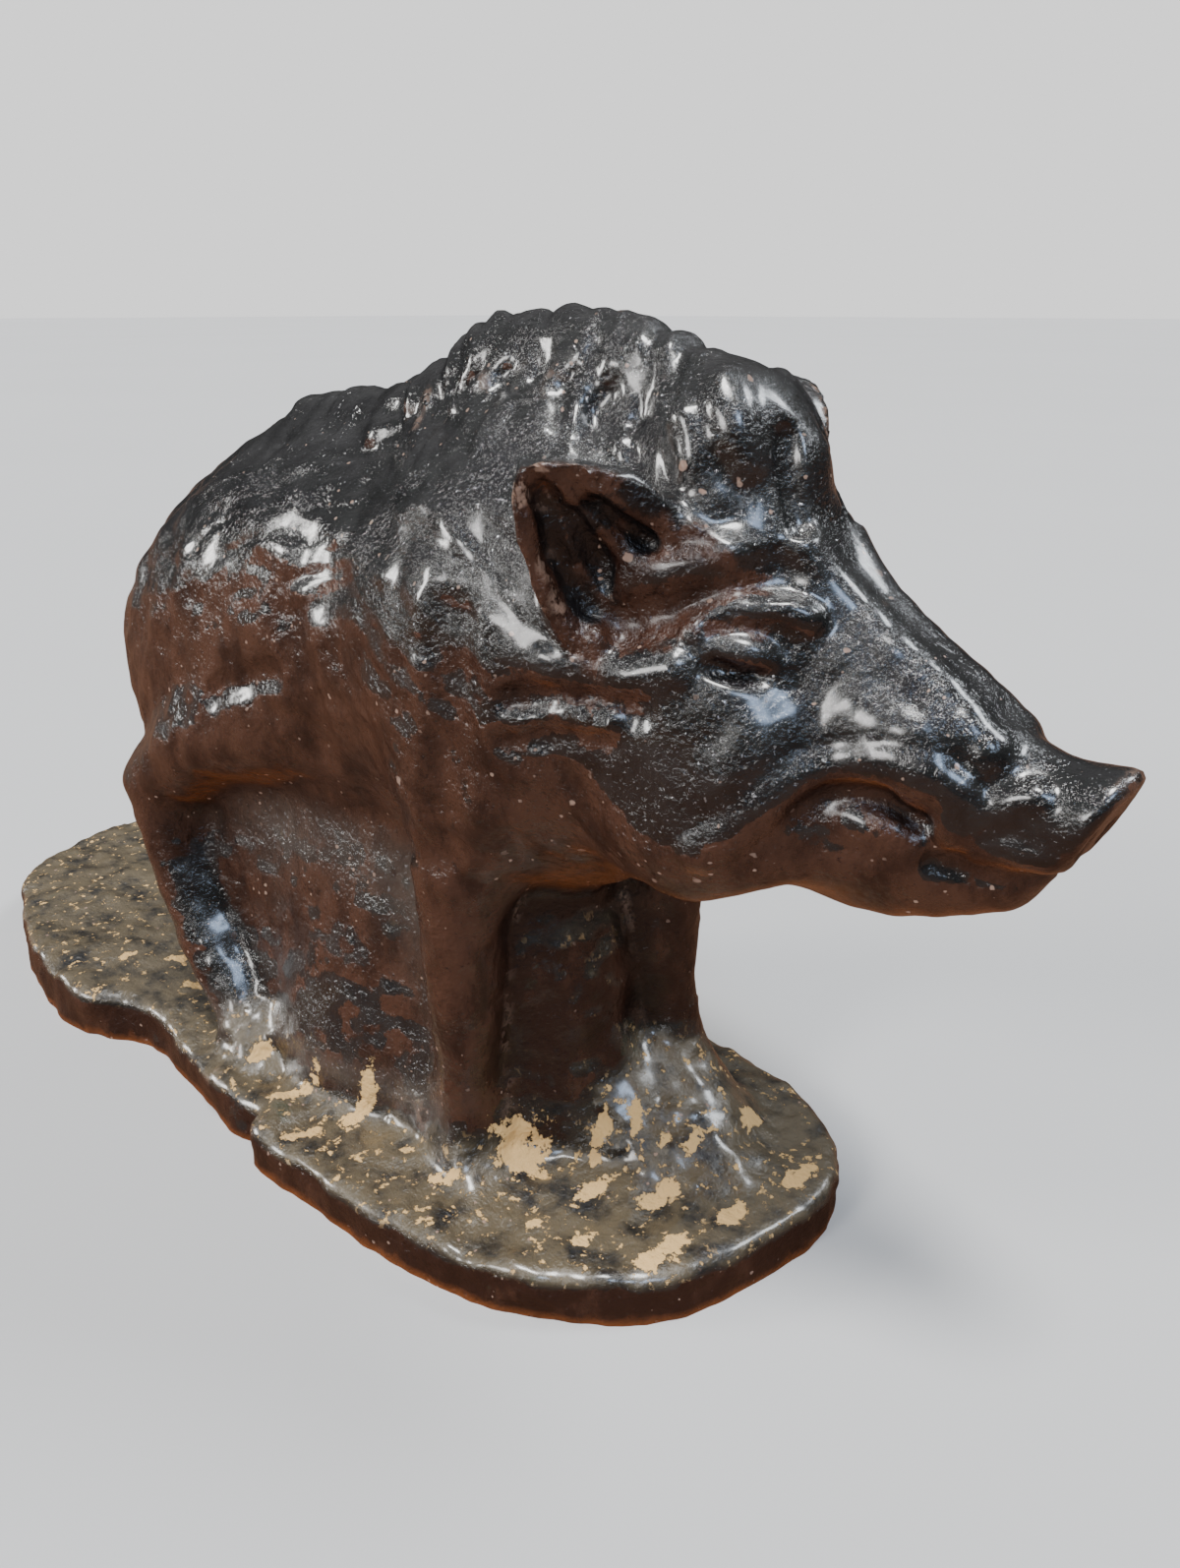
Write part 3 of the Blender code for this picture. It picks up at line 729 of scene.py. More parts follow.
@dataclass
class Mouth:
    """Lips raised over the tusks, the folds before them, the mouth's line and the nostrils."""

    corner: Rows = ((19, 10.2, 54.5, 4.2), (25, 8.0, 55.5, 3.4), (31, 5.4, 57, 3.0))
    muzzle: Fold = Fold((
        (23.0, 13.4, 56.8), (25.2, 12.0, 59.4), (28.0, 9.4, 61.2), (32.0, 7.6, 61.6), (36.0, 6.4, 61.0),
    ), 4.5, 0.9)
    lip: Fold = Fold((
        (21.2, 15.2, 49.8), (23.4, 14.2, 51.9), (25.4, 12.6, 54.4), (27.4, 10.4, 56.8), (30, 8.3, 58.0),
        (34, 7.3, 58.8), (38, 6.5, 58.4), (40.2, 5.9, 56.8), (39.8, 5.7, 54.4),
    ), 2.6, 2.1)
    hollow: Rows = (
        (28.4, 11.2, 54.2, 0.7), (30.4, 9.6, 55.7, 1.3), (33.5, 8.5, 55.8, 1.5), (36.4, 7.4, 54.2, 1.3),
    )
    tusk: Rows = (
        (28, 7.2, 52.6, 0.8), (30.5, 7.0, 53.2, 1.6), (33.5, 6.7, 53.1, 1.7), (36.5, 6.0, 52.2, 0.9),
    )
    tooth: Fold = Fold(((36.4, 6.4, 57.0), (37.8, 6.0, 56.6)), 2.2, 1.1)
    upper_fold: Fold = Fold(((40.6, 5.0, 54.8), (43, 5.0, 56.9), (45.4, 4.4, 58.4)), 2.0, 0.9)
    lower_fold: Fold = Fold(((41.5, 4.8, 53.2), (44, 4.8, 53.3), (46.8, 4.4, 53.2)), 1.8, 0.9)
    line: Fold = Fold(((38, 5.4, 50.8), (43.7, 4.4, 50.2), (46.8, 2.6, 51), (47.8, 0, 51.2)), 1.6, -0.9)
    nostril: Row = (49.4, 2.3, 54.4, 1.6, 0.8, 1.3)

    def forms(self) -> list[Form]:
        """Returns the forms of the mouth and snout."""
        return [
            Limb(self.corner, blend=3, paired=True),
            *strokes(self.muzzle, self.lip),
            Limb(self.hollow, blend=2.0, paired=True, cut=True),
            Limb(self.tusk, blend=1.4, paired=True),
            *strokes(self.tooth, self.upper_fold, self.lower_fold, self.line),
            Ball(self.nostril, blend=0.6, paired=True, cut=True),
        ]


@dataclass
class Cheeks:
    """The folds between the ears and the jowls."""

    upper: Fold = Fold(((6, 17.6, 64.4), (9.7, 16.9, 64.0), (13, 16.2, 64.4), (17, 14.6, 65.4)), 2.6, 1.2)
    under: Fold = Fold(((2.5, 19.4, 60.8), (6.5, 18.5, 61.4), (11, 17.2, 62.4), (15, 16.2, 61.6)), 2.2, -1.0)
    lower: Fold = Fold(((3.5, 19.0, 58.6), (7.3, 18.1, 60.1), (12.5, 17.0, 60.4)), 2.0, 0.9)
    last: Fold = Fold(((2, 19.6, 56.8), (6, 18.6, 58.0), (12, 17.4, 58.3)), 2.2, -0.9)
    strand: Fold = Fold(((11.0, 16.0, 68.6), (9.6, 16.9, 65.6), (8.2, 17.6, 61.6)), 1.5, 0.7)

    def forms(self) -> list[Form]:
        """Returns the folds."""
        return strokes(self.upper, self.under, self.lower, self.last, self.strand)


@dataclass
class Ears:
    """The two ears, one turned out and the other pricked."""

    turned_root: Row = (12.6, -11.4, 70)
    turned_tip: Row = (6.4, -21.6, 82.2)
    turned_front: Row = (17, -8.4, 77)
    pricked_root: Row = (12.5, 8.5, 72)
    pricked_tip: Row = (11.2, 13.5, 88)
    pricked_front: Row = (18, 8, 80)
    turned_sizes: Row = (7.4, 3.2, 1.5)
    pricked_sizes: Row = (6.2, 2.6, 1.4)
    ridges: tuple[Rows, ...] = (
        ((0.82, 0.30), (0.50, 0.20), (0.19, 0.10), (-0.05, -0.20)),
        ((0.66, 0.60), (0.46, 0.68), (0.24, 0.74)),
        ((0.80, -0.55), (0.45, -0.92), (0.10, -0.95)),
    )
    grooves: tuple[Rows, ...] = (
        ((0.80, -0.05), (0.52, -0.48), (0.20, -0.62)),
        ((0.62, 0.02), (0.40, -0.12), (0.14, -0.28)),
        ((0.60, 0.42), (0.36, 0.46), (0.10, 0.42)),
        ((0.52, 0.88), (0.30, 0.95)),
    )
    ridge_shape: Row = (1.3, 0.75)
    groove_shape: Row = (1.7, -0.95)
    fold_steps: int = 4

    def turned(self) -> Ear:
        """Returns the ear that is turned out, sized by its half width, hollow and wall."""
        return Ear(self.turned_root, self.turned_tip, self.turned_front, *self.turned_sizes)

    def forms(self) -> list[Form]:
        """Returns both ears and the folds inside the turned one.

        Returns:
            The forms, in the order they are blended.
        """
        pricked = Ear(self.pricked_root, self.pricked_tip, self.pricked_front, *self.pricked_sizes)
        ridges = [Fold(self.on_face(path), *self.ridge_shape) for path in self.ridges]
        folds = [Stroke(fold, paired=False, steps=self.fold_steps) for fold in ridges + self.dark_grooves()]
        return [self.turned(), pricked, *folds]

    def on_face(self, path: Rows) -> Rows:
        """Returns places on the turned ear's cupped face."""
        turned = self.turned()
        return tuple(turned.spot(rise, side, turned.wall) for rise, side in path)

    def dark_grooves(self) -> list[Fold]:
        """Returns the grooves inside the turned ear."""
        return [Fold(self.on_face(path), *self.groove_shape) for path in self.grooves]


@dataclass
class FrontLegs:
    """The trailing leg on the right and the leading one on the left."""

    trailing: Rows = (
        (-9, -12, 48, 9), (-11, -14, 34, 5.2), (-11, -15, 18, 3.3), (-11, -15, 7, 3.1), (-10, -15.5, 0, 4.2),
    )
    leading: Rows = (
        (-3, 10, 47, 9), (-2.5, 11, 32, 5.2), (-2, 11, 18, 3.8), (0.2, 10.8, 8, 3.5), (6.5, 10.5, 0, 4.6),
    )
    groove: Fold = Fold(((-4, 21.6, 68), (-3.2, 21.8, 60), (-5, 21.4, 52), (-8, 19.6, 43)), 4.0, -1.4)

    def forms(self) -> list[Form]:
        """Returns the legs."""
        return [Limb(self.trailing), Limb(self.leading)]

    def collar(self) -> list[Form]:
        """Returns the groove where the neck's thick coat ends over the shoulder."""
        return strokes(self.groove)


@dataclass
class HindLegs:
    """Haunches, shanks and cannons, drawn up under the rump, with the creases round them."""

    haunch: Row = (-57, 10, 52, 20, 8, 16)
    shank: Rows = ((-36, 11, 49, 5.5), (-44, 13, 47.5, 6.2), (-56, 15.2, 43, 6.2), (-68.5, 16, 34, 5.2))
    cannon: Rows = (
        (-68.5, 16, 33, 5.2), (-66.5, 17, 23, 4.2), (-61, 17.5, 13, 3.8), (-54, 18, 5, 3.8),
        (-50, 18.5, 0, 4.6),
    )
    crease: Fold = Fold(((-48, 20.4, 51), (-42, 20, 53.6), (-36, 19.2, 55.6)), 2.6, -1.5)
    flank: Fold = Fold(((-33, 19.6, 64), (-30.5, 19.6, 56), (-31.5, 18, 46)), 4.5, -1.4)

    def forms(self) -> list[Form]:
        """Returns the legs and creases."""
        return [
            Ball(self.haunch, pitch=-12, blend=5, paired=True),
            Limb(self.shank, blend=3.5, paired=True),
            Limb(self.cannon, blend=2, paired=True),
            *strokes(self.crease, self.flank),
        ]


@dataclass
class Ground:
    """The mound that fills the space under the belly, and the slab under the hooves."""

    belly_fill: Row = (-34, 0, 16, 33, 15.4, 32)
    rear_fill: Row = (-58, 0, 20, 16, 14.2, 28)
    foot: Rows = ((-56, 0, 0, 10), (-34, 0, 0, 20), (-16, 0, 0, 12), (0, 2, 0, 8), (12, 3, -4, 6))
    rear_end: float = -130.2
    front_end: float = 24.8
    half_width: float = 28.7
    waist: float = 5.5
    rear_rise: float = 2.0
    rise: Row = (-60.0, -85.0)
    edge_round: float = 2.2

    def forms(self) -> list[Form]:
        """Returns the mound and the slab."""
        return [
            Ball(self.belly_fill, blend=6),
            Ball(self.rear_fill, blend=6),
            Limb(self.foot, blend=8, steps=2),
            Slab(self.outline(), self.rise, self.rear_rise, self.edge_round),
        ]

    def outline(self) -> Rows:
        """Returns the slab's outline, the right side from the rear and then the left one back.

        Returns:
            Rows of x and y.
        """
        waist = 1.0 - self.waist / self.half_width
        shares = (
            (0.0, 0.04), (0.045, -0.54), (0.122, -0.79), (0.19, -0.93), (0.264, -1.02), (0.335, -1.02),
            (0.40, -waist - 0.03), (0.483, -0.90), (0.56, -0.955), (0.60, -0.935), (0.613, -1.02),
            (0.66, -1.03), (0.76, -1.0), (0.85, -0.93), (0.915, -0.76), (0.97, -0.45),
            (1.0, 0.15), (0.985, 0.50), (0.94, 0.72), (0.86, 0.86), (0.70, 0.86), (0.55, 0.80),
            (0.40, waist - 0.08), (0.24, 0.86), (0.12, 0.72), (0.03, 0.42),
        )
        length = self.front_end - self.rear_end
        return tuple((self.rear_end + along * length, self.half_width * out) for along, out in shares)


@dataclass
class Boar:
    """All the sub-assemblies of the cast, blended in order."""

    trunk: Trunk = field(default_factory=Trunk)
    mane: Mane = field(default_factory=Mane)
    head: Head = field(default_factory=Head)
    eyes: Eyes = field(default_factory=Eyes)
    mouth: Mouth = field(default_factory=Mouth)
    cheeks: Cheeks = field(default_factory=Cheeks)
    ears: Ears = field(default_factory=Ears)
    front_legs: FrontLegs = field(default_factory=FrontLegs)
    hind_legs: HindLegs = field(default_factory=HindLegs)
    ground: Ground = field(default_factory=Ground)

    def forms(self) -> list[Form]:
        """Returns every form in the order they are blended.

        Returns:
            The forms.
        """
        parts = (
            self.trunk, self.mane, self.front_legs, self.hind_legs, self.head,
            self.ears, self.eyes, self.mouth, self.cheeks,
        )
        made = [form for part in parts for form in part.forms()]
        return made + self.front_legs.collar() + self.ground.forms()

    def reflection_creases(self) -> tuple[Fold, ...]:
        """Returns the creases where a warm reflection of a table is painted, with how far each reaches."""
        furrow = self.eyes.furrow.path
        return (
            Fold(furrow[:2], 4.4), Fold(furrow[1:], 1.9), Fold(self.eyes.lid.path, 1.3),
            Fold(self.cheeks.under.path, 1.5), Fold(self.cheeks.last.path, 1.9),
            Fold(self.mouth.hollow, 3.4),
        )

    def shadows(self) -> tuple[Fold, ...]:
        """Returns the grooves where black painted shade lies, with how far each reaches."""
        grooves = (Fold(groove.path, 2.0) for groove in self.ears.dark_grooves())
        return (*grooves, Fold(self.head.slit.path, 1.2), Fold(self.mouth.hollow, 1.2))


class Skin:
    """The surface where the blended forms end."""

    probe = 0.05
    longest_step = 1.2
    least_steepness = 0.4

    def __init__(self, forms: list[Form]) -> None:
        """Keeps the forms in order."""
        self.forms = forms

    def distance(self, p: Points) -> Values:
        """Measures signed distances to all the forms, blended in order.

        Args:
            p: Where to measure, in points.

        Returns:
            The distances, below zero inside the cast.
        """
        mirrored = one_side(p)
        total = np.full(len(p), FAR)
        for form in self.forms:
            total = form.join(total, mirrored if form.paired else p)
        return total

    def slope(self, p: Points, here: Values) -> Points:
        """Returns the direction in which the distance grows.

        Args:
            p: Where to measure.
            here: The distances there.

        Returns:
            The directions, as long as the slope is steep.
        """
        ahead = [self.distance(p + self.probe * axis) for axis in np.eye(3)]
        return (np.column_stack(ahead) - here[:, None]) / self.probe

    def settle(self, p: Points) -> Points:
        """Moves points one step down the slope of the field, towards the surface.

        Args:
            p: Where the points are, in points.

        Returns:
            Where they come to lie.
        """
        here = self.distance(p)
        slope = self.slope(p, here)
        steepness = np.maximum(np.linalg.norm(slope, axis=1), self.least_steepness)
        step = np.clip(here / steepness, -self.longest_step, self.longest_step)
        return p - (step / steepness)[:, None] * slope


@dataclass
class Relief:
    """What the maker's tools and the mould left on the skin, in points."""

    lump_height: float = 0.42
    lump_size: float = 6.0
    ripple_height: float = 0.26
    ripple_size: float = 2.4
    face_calm: float = 0.65
    face_start: Row = (8.0, 22.0)
    ground_top: Row = (3.0, 9.0)
    mound_side: Row = (11.0, 15.0)
    mound_top: Row = (30.0, 40.0)
    coat_end: Row = (4.0, 22.0)
    coat_foot: Row = (32.0, 46.0)
    comb_height: float = 0.34
    comb_centre: Row = (-24.0, 34.0)
    comb_drift: float = 1.6
    drift_size: float = 11.0
    combs: tuple[tuple[Seed, Row], ...] = (
        (Seed.WIDE_COMB, (0.65, 5.0, 1.7, 1.9)),
        (Seed.FINE_COMB, (0.35, 9.0, 0.95, 1.1)),
    )
    tuft_height: float = 0.55
    tuft_foot: Row = (76.0, 82.0)
    tuft_end: Row = (10.0, 18.0)
    tuft_sizes: Row = (1.5, 6.0, 7.0)
    tuft_lean: float = 0.25
    grit_height: float = 0.16
    fine_grit: float = 1.7
    coarse_grit: float = 3.9
    coarse_share: float = 0.8
    wart_radius: float = 0.75
    wart_height: float = 0.30
    wart_cell: float = 3.1
    wart_share: float = 0.5
    wart_shape: float = 1.5
    wart_foot: Row = (-1.0, 1.0)
    wart_top: Row = (26.0, 40.0)

    def height(self, p: Points) -> Values:
        """Measures how far the skin stands out.

        Args:
            p: Places on the smooth skin.

        Returns:
            Heights above the smooth skin.
        """
        ground = self.on_ground(p)
        coat = (1.0 - ground) * self.coat(p)
        lumps = self.lump_height * soft_noise(p, self.lump_size, Seed.LUMPS)
        lumps += self.ripple_height * soft_noise(p, self.ripple_size, Seed.RIPPLES)
        lumps *= 1.0 - self.face_calm * smooth_step(p[:, 0], *self.face_start)
        combed = self.comb_height * coat * self.comb(p) + self.tuft_height * self.tufts(p)
        grit = soft_noise(p, self.fine_grit, Seed.FINE_GRIT)
        grit += self.coarse_share * soft_noise(p, self.coarse_grit, Seed.COARSE_GRIT)
        return lumps + combed + self.grit_height * ground * grit + self.warts(p)

    def on_ground(self, p: Points) -> Values:
        """Finds the mound and the slab's top.

        Args:
            p: Places on the skin.

        Returns:
            Values of 1 on the ground and 0 on the boar.
        """
        low = 1.0 - smooth_step(p[:, 2], *self.ground_top)
        beside = 1.0 - smooth_step(np.abs(p[:, 1]), *self.mound_side)
        return np.maximum(low, beside * (1.0 - smooth_step(p[:, 2], *self.mound_top)))

    def coat(self, p: Points) -> Values:
        """Returns how thick the coat is: full on the body and neck, none on the snout and legs."""
        return (1.0 - smooth_step(p[:, 0], *self.coat_end)) * smooth_step(p[:, 2], *self.coat_foot)

    def comb(self, p: Points) -> Values:
        """Makes ridges that run round the body, along its back and down its rump.

        Args:
            p: Places on the skin.

        Returns:
            Values from -1 to 1.
        """
        x, z = p[:, 0] - self.comb_centre[0], p[:, 2] - self.comb_centre[1]
        turn, out = np.arctan2(z, x), np.hypot(x, z)
        out = out + self.comb_drift * soft_noise(p, self.drift_size, Seed.DRIFT)
        total = np.zeros(len(p))
        for seed, (share, rate, depth, width) in self.combs:
            combed = np.column_stack((turn * rate, out / depth, p[:, 1] / width))
            total += share * soft_noise(combed, 1.0, seed)
        return total

    def tufts(self, p: Points) -> Values:
        """Makes the coarse tufts that are combed down both sides of the mane.

        Args:
            p: Places on the skin.

        Returns:
            Values from -1 to 1, and 0 away from the mane.
        """
        mane = smooth_step(p[:, 2], *self.tuft_foot) * (1.0 - smooth_step(p[:, 0], *self.tuft_end))
        along, across, down = (one_side(p) / np.array(self.tuft_sizes)).T
        hang = np.column_stack((along + self.tuft_lean * p[:, 2], across, down))
        return mane * soft_noise(hang, 1.0, Seed.TUFTS)

    def warts(self, p: Points) -> Values:
        """Makes small beads of glaze on the mound and the lower legs.

        Args:
            p: Places on the skin.

        Returns:
            Heights above the skin.
        """
        gap = cell_beads(p, self.wart_cell, Seed.WARTS, self.wart_share) / self.wart_radius
        zone = (1.0 - smooth_step(p[:, 2], *self.wart_top)) * smooth_step(p[:, 2], *self.wart_foot)
        return self.wart_height * zone * np.maximum(1.0 - gap**2, 0.0) ** self.wart_shape


@dataclass
class Casting:
    """Works the blended forms into one mesh with its relief."""

    skin: Skin
    relief: Relief
    passes: Passes
    triangles: int = 195000
    bead_segments: int = 14
    bead_rings: int = 8
    shift: Vector = field(default_factory=Vector)

    def build(self) -> bpy.types.Mesh:
        """Makes the mesh, cut off flat below, and works out the shift that centres it over the origin.

        Returns:
            The mesh in points.
        """
        mesh = self.rough_form()
        for voxel, rounds in self.passes:
            mesh = self.outer_shell(self.with_modifier(mesh, "REMESH", mode="VOXEL", voxel_size=voxel))
            for _ in range(rounds):
                self.move(mesh, self.skin.settle(self.places(mesh)))
            log.info("worked at %.2f points: %d corners", voxel, len(mesh.vertices))
        places = self.places(mesh)
        slope = self.skin.slope(places, self.skin.distance(places))
        normal = slope / np.maximum(np.linalg.norm(slope, axis=1), TINY)[:, None]
        self.move(mesh, places + self.relief.height(places)[:, None] * normal)
        mesh = self.with_modifier(mesh, "TRIANGULATE")
        share = self.triangles / len(mesh.polygons)
        if share < 1.0:
            mesh = self.with_modifier(mesh, "DECIMATE", ratio=share)
        self.flatten_underside(mesh)
        places = self.places(mesh)
        middle = 0.5 * (places.min(axis=0) + places.max(axis=0))
        self.shift = Vector((-middle[0], -middle[1], PLINTH_THICKNESS))
        return mesh

    def rough_form(self) -> bpy.types.Mesh:
        """Returns a mesh of overlapping beads and pads, one or more for each form.

        Returns:
            The mesh in points.
        """
        bead = bmesh.new()
        bmesh.ops.create_uvsphere(
            bead, u_segments=self.bead_segments, v_segments=self.bead_rings, radius=1.0
        )
        corners = np.array([vert.co for vert in bead.verts])
        bead_faces = [[vert.index for vert in face.verts] for face in bead.faces]
        bead.free()
        sides = (Matrix.Identity(4), Matrix.Scale(-1.0, 4, (0.0, 1.0, 0.0)))
        turns = [
            np.array(side @ seed)
            for form in self.skin.forms if not form.cut
            for side in sides[: 2 if form.paired else 1]
            for seed in form.seeds()
        ]
        places, faces = [], []
        for turn in turns:
            first = len(places) * len(corners)
            order = 1 if np.linalg.det(turn[:3, :3]) > 0 else -1
            faces += [[first + corner for corner in face][::order] for face in bead_faces]
            places.append(corners @ turn[:3, :3].T + turn[:3, 3])
        mesh = bpy.data.meshes.new(CAST)
        mesh.from_pydata(np.vstack(places), [], faces)
        return mesh

    def outer_shell(self, mesh: bpy.types.Mesh) -> bpy.types.Mesh:
        """Takes away the shells of hollows that lie inside the mesh.

        Args:
            mesh: The mesh to clean.

        Returns:
            The same mesh with only its largest shell.
        """
        work = bmesh.new()
        work.from_mesh(mesh)
        unseen = set(work.verts)
        shells = []
        while unseen:
            shell = {unseen.pop()}
            waiting = list(shell)
            while waiting:
                place = waiting.pop()
                linked = [link.other_vert(place) for link in place.link_edges]
                fresh = [other for other in linked if other in unseen]
                unseen.difference_update(fresh)
                shell.update(fresh)
                waiting.extend(fresh)
            shells.append(shell)
        outer = max(shells, key=len)
        inner = [place for shell in shells if shell is not outer for place in shell]
        bmesh.ops.delete(work, geom=inner, context="VERTS")
        work.to_mesh(mesh)
        work.free()
        return mesh

    def with_modifier(self, mesh: bpy.types.Mesh, kind: str, **values: Any) -> bpy.types.Mesh:
        """Applies one modifier.

        Args:
            mesh: The mesh, which is used up.
            kind: The modifier's type.
            values: The modifier's settings.

        Returns:
            The new mesh.
        """
        holder = bpy.data.objects.new("holder", mesh)
        bpy.context.scene.collection.objects.link(holder)
        modifier = holder.modifiers.new(kind, kind)
        for name, value in values.items():
            setattr(modifier, name, value)
        graph = bpy.context.evaluated_depsgraph_get()
        result = bpy.data.meshes.new_from_object(holder.evaluated_get(graph))
        bpy.data.objects.remove(holder)
        bpy.data.meshes.remove(mesh)
        return result

    def flatten_underside(self, mesh: bpy.types.Mesh) -> None:
        """Cuts the mesh off flat at its underside and closes it there.

        Args:
            mesh: The mesh to cut.
        """
        work = bmesh.new()
        work.from_mesh(mesh)
        geometry = [*work.verts, *work.edges, *work.faces]
        cut = bmesh.ops.bisect_plane(
            work, geom=geometry, plane_co=(0, 0, -PLINTH_THICKNESS), plane_no=(0, 0, -1), clear_outer=True
        )
        edges = [item for item in cut["geom_cut"] if isinstance(item, bmesh.types.BMEdge)]
        bmesh.ops.holes_fill(work, edges=edges)
        bmesh.ops.recalc_face_normals(work, faces=work.faces)
        bmesh.ops.triangulate(work, faces=[face for face in work.faces if len(face.verts) > 3])
        work.to_mesh(mesh)
        work.free()

    def places(self, mesh: bpy.types.Mesh) -> Points:
        """Returns the corners of a mesh.

        Args:
            mesh: The mesh to read.

        Returns:
            Rows of x, y and z.
        """
        values = np.empty(len(mesh.vertices) * 3)
        mesh.vertices.foreach_get("co", values)
        return values.reshape(-1, 3)

    def move(self, mesh: bpy.types.Mesh, places: Points) -> None:
        """Puts the corners of a mesh in new places.

        Args:
            mesh: The mesh to change.
            places: Rows of x, y and z.
        """
        mesh.vertices.foreach_set("co", places.ravel())
        mesh.update()


@dataclass
class Wear:
    """Where the warm reflection and the shade are painted, where dust gathers and where the glaze has come
    off, as values on the mesh's corners.
    """

    skin: Skin
    relief: Relief
    ear: Ear
    reflection_creases: tuple[Fold, ...]
    shadows: tuple[Fold, ...]
    crease_strength: float = 1.25
    # The painted warm reflection of a table: the slope where it starts, lower on the neck and the head, and
    # over the snout's disk
    brown_slope: float = 0.24
    brown_softness: float = 0.22
    neck_slope: float = 0.02
    neck_start: Row = (-26.0, -12.0)
    neck_foot: Row = (42.0, 54.0)
    head_slope: float = -0.30
    head_start: Row = (0.0, 8.0)
    face_line: Rows = (
        (-6.0, 62.0), (2.0, 58.5), (10.0, 54.5), (18.0, 50.0), (24.5, 53.5), (27.0, 56.0),
        (30.0, 57.2), (34.0, 57.4), (38.0, 56.6), (41.0, 53.5), (50.0, 53.0),
    )
    line_width: Row = (-1.5, 1.5)
    disk_facing: Row = (0.91, 0.0, -0.41)
    disk_turn: Row = (0.75, 0.92)
    disk_start: Row = (45.5, 47.5)
    disk_strength: float = 1.5
    cavity_depth: float = 2.2
    edge_depth: float = 1.3
    downward: Row = (0.55, 0.9)
    lower_edge: Row = (4.8, 5.9)
    upward: Row = (0.2, 0.7)
    grainy_start: Row = (-26.0, -8.0)
    grainy_end: Row = (20.0, 32.0)
    grainy_foot: Row = (40.0, 50.0)
    dusted_turn: Row = (0.35, 0.75)
    dusted_end: Row = (-18.0, -12.0)
    dusted_foot: Row = (2.0, 6.0)
    dusted_top: Row = (34.0, 42.0)
    bare_top: Row = (4.0, 9.0)
    patches: tuple[tuple[Row, float, float, float], ...] = (
        ((-26.0, -19.5), 4.2, 1.3, 62.0),
        ((-36.0, -22.5), 5.0, 1.4, 48.0),
        ((-45.0, -21.0), 3.2, 1.2, 70.0),
        ((-76.0, -14.0), 4.0, 1.2, 60.0),
        ((12.0, 10.5), 3.4, 1.5, 100.0),
        ((18.5, -2.5), 4.4, 1.3, 84.0),
        ((-9.5, -20.5), 3.0, 1.0, 20.0),
        ((-4.8, -12.1), 5.0, 3.4, 40.0),
        ((3.2, -18.0), 2.4, 1.2, 85.0),
        ((4.2, -10.2), 5.2, 1.6, 83.0),
        ((1.4, -5.2), 3.6, 1.5, 101.0),
        ((3.6, -1.3), 3.6, 1.2, 116.0),
        ((10.7, -5.5), 4.0, 1.8, 74.0),
        ((7.9, -1.1), 1.6, 1.0, 95.0),
        ((10.5, 1.3), 2.4, 1.4, 100.0),
        ((8.7, -16.8), 1.8, 1.0, 94.0),
        ((16.4, -11.5), 6.0, 2.3, 79.0),
        ((20.9, 7.4), 3.8, 1.7, 90.0),
        ((-29.2, -26.0), 3.8, 2.0, 60.0),
        ((-17.5, -14.6), 3.0, 1.1, 124.0),
        ((-16.4, -19.8), 2.0, 1.0, 70.0),
        ((-68.3, -16.1), 4.6, 1.3, 50.0),
        ((-82.1, -19.7), 2.2, 1.0, 98.0),
    )

    def write(self, mesh: bpy.types.Mesh, places: Points) -> None:
        """Measures the wear, the painted reflection and the painted shade, and stores them on the mesh.

        Args:
            mesh: The finished mesh.
            places: Its corners in points.
        """
        normal = np.empty(len(places) * 3)
        mesh.vertices.foreach_get("normal", normal)
        normal = normal.reshape(-1, 3)
        ground = self.relief.on_ground(places)
        up, down = normal[:, 2], -places[:, 2]
        outside = self.skin.distance(places + self.cavity_depth * normal)
        inside = self.skin.distance(places - self.edge_depth * normal)
        values = {
            # Painted warm reflection of a table on what faces sideways or down
            "warm_reflection": self.warm_reflection(places, normal),
            "inner": self.ear.inside(places),
            "grainy": self.grainy(places),
            # Black painted shade in the ear's grooves, the brow's slit and the mouth's hollow
            "groove_shade": np.clip(self.near_paths(places, self.shadows), 0.0, 1.0),
            # Downward faces and the slab's lower edge, which take a painted orange glow of the table
            "under": np.maximum(smooth_step(-up, *self.downward), smooth_step(down, *self.lower_edge)),
            # Painted shade in recesses: how far a step outward still lies inside the cast
            "recess_shade": np.clip(1.0 - outside / self.cavity_depth, 0.0, 1.0),
            "edge": np.clip(1.0 + inside / self.edge_depth, 0.0, 1.0),
            "ground": ground * smooth_step(up, *self.upward),
            "mound": ground,
            "dusted": self.dusted(places, normal, ground),
            "bare": self.bare(places),
        }
        for name, value in values.items():
            layer = mesh.attributes.new(name, "FLOAT", "POINT")
            layer.data.foreach_set("value", value.astype(np.float32))

    def warm_reflection(self, places: Points, normal: Points) -> Values:
        """Finds where a warm reflection of a table is painted: on what faces sideways or down, less so on
        the head.

        Args:
            places: The corners in points.
            normal: Their outward directions.

        Returns:
            Values from 0 where the glaze shows black to 1 where the painted reflection is full.
        """
        x, z = places[:, 0], places[:, 2]
        above_line = z - np.interp(x, *np.array(self.face_line).T)
        head = smooth_step(x, *self.head_start) * smooth_step(above_line, *self.line_width)
        neck = smooth_step(x, *self.neck_start) * smooth_step(z, *self.neck_foot)
        slope = self.brown_slope + neck * (self.neck_slope - self.brown_slope)
        slope = slope + head * (self.head_slope - slope)
        value = 0.5 + (slope - normal[:, 2]) / self.brown_softness
        # The snout's disk faces forward and down, so the painted reflection covers it
        disk = smooth_step(normal @ np.array(self.disk_facing), *self.disk_turn)
        disk *= smooth_step(x, *self.disk_start)
        value = np.maximum(value, self.disk_strength * disk)
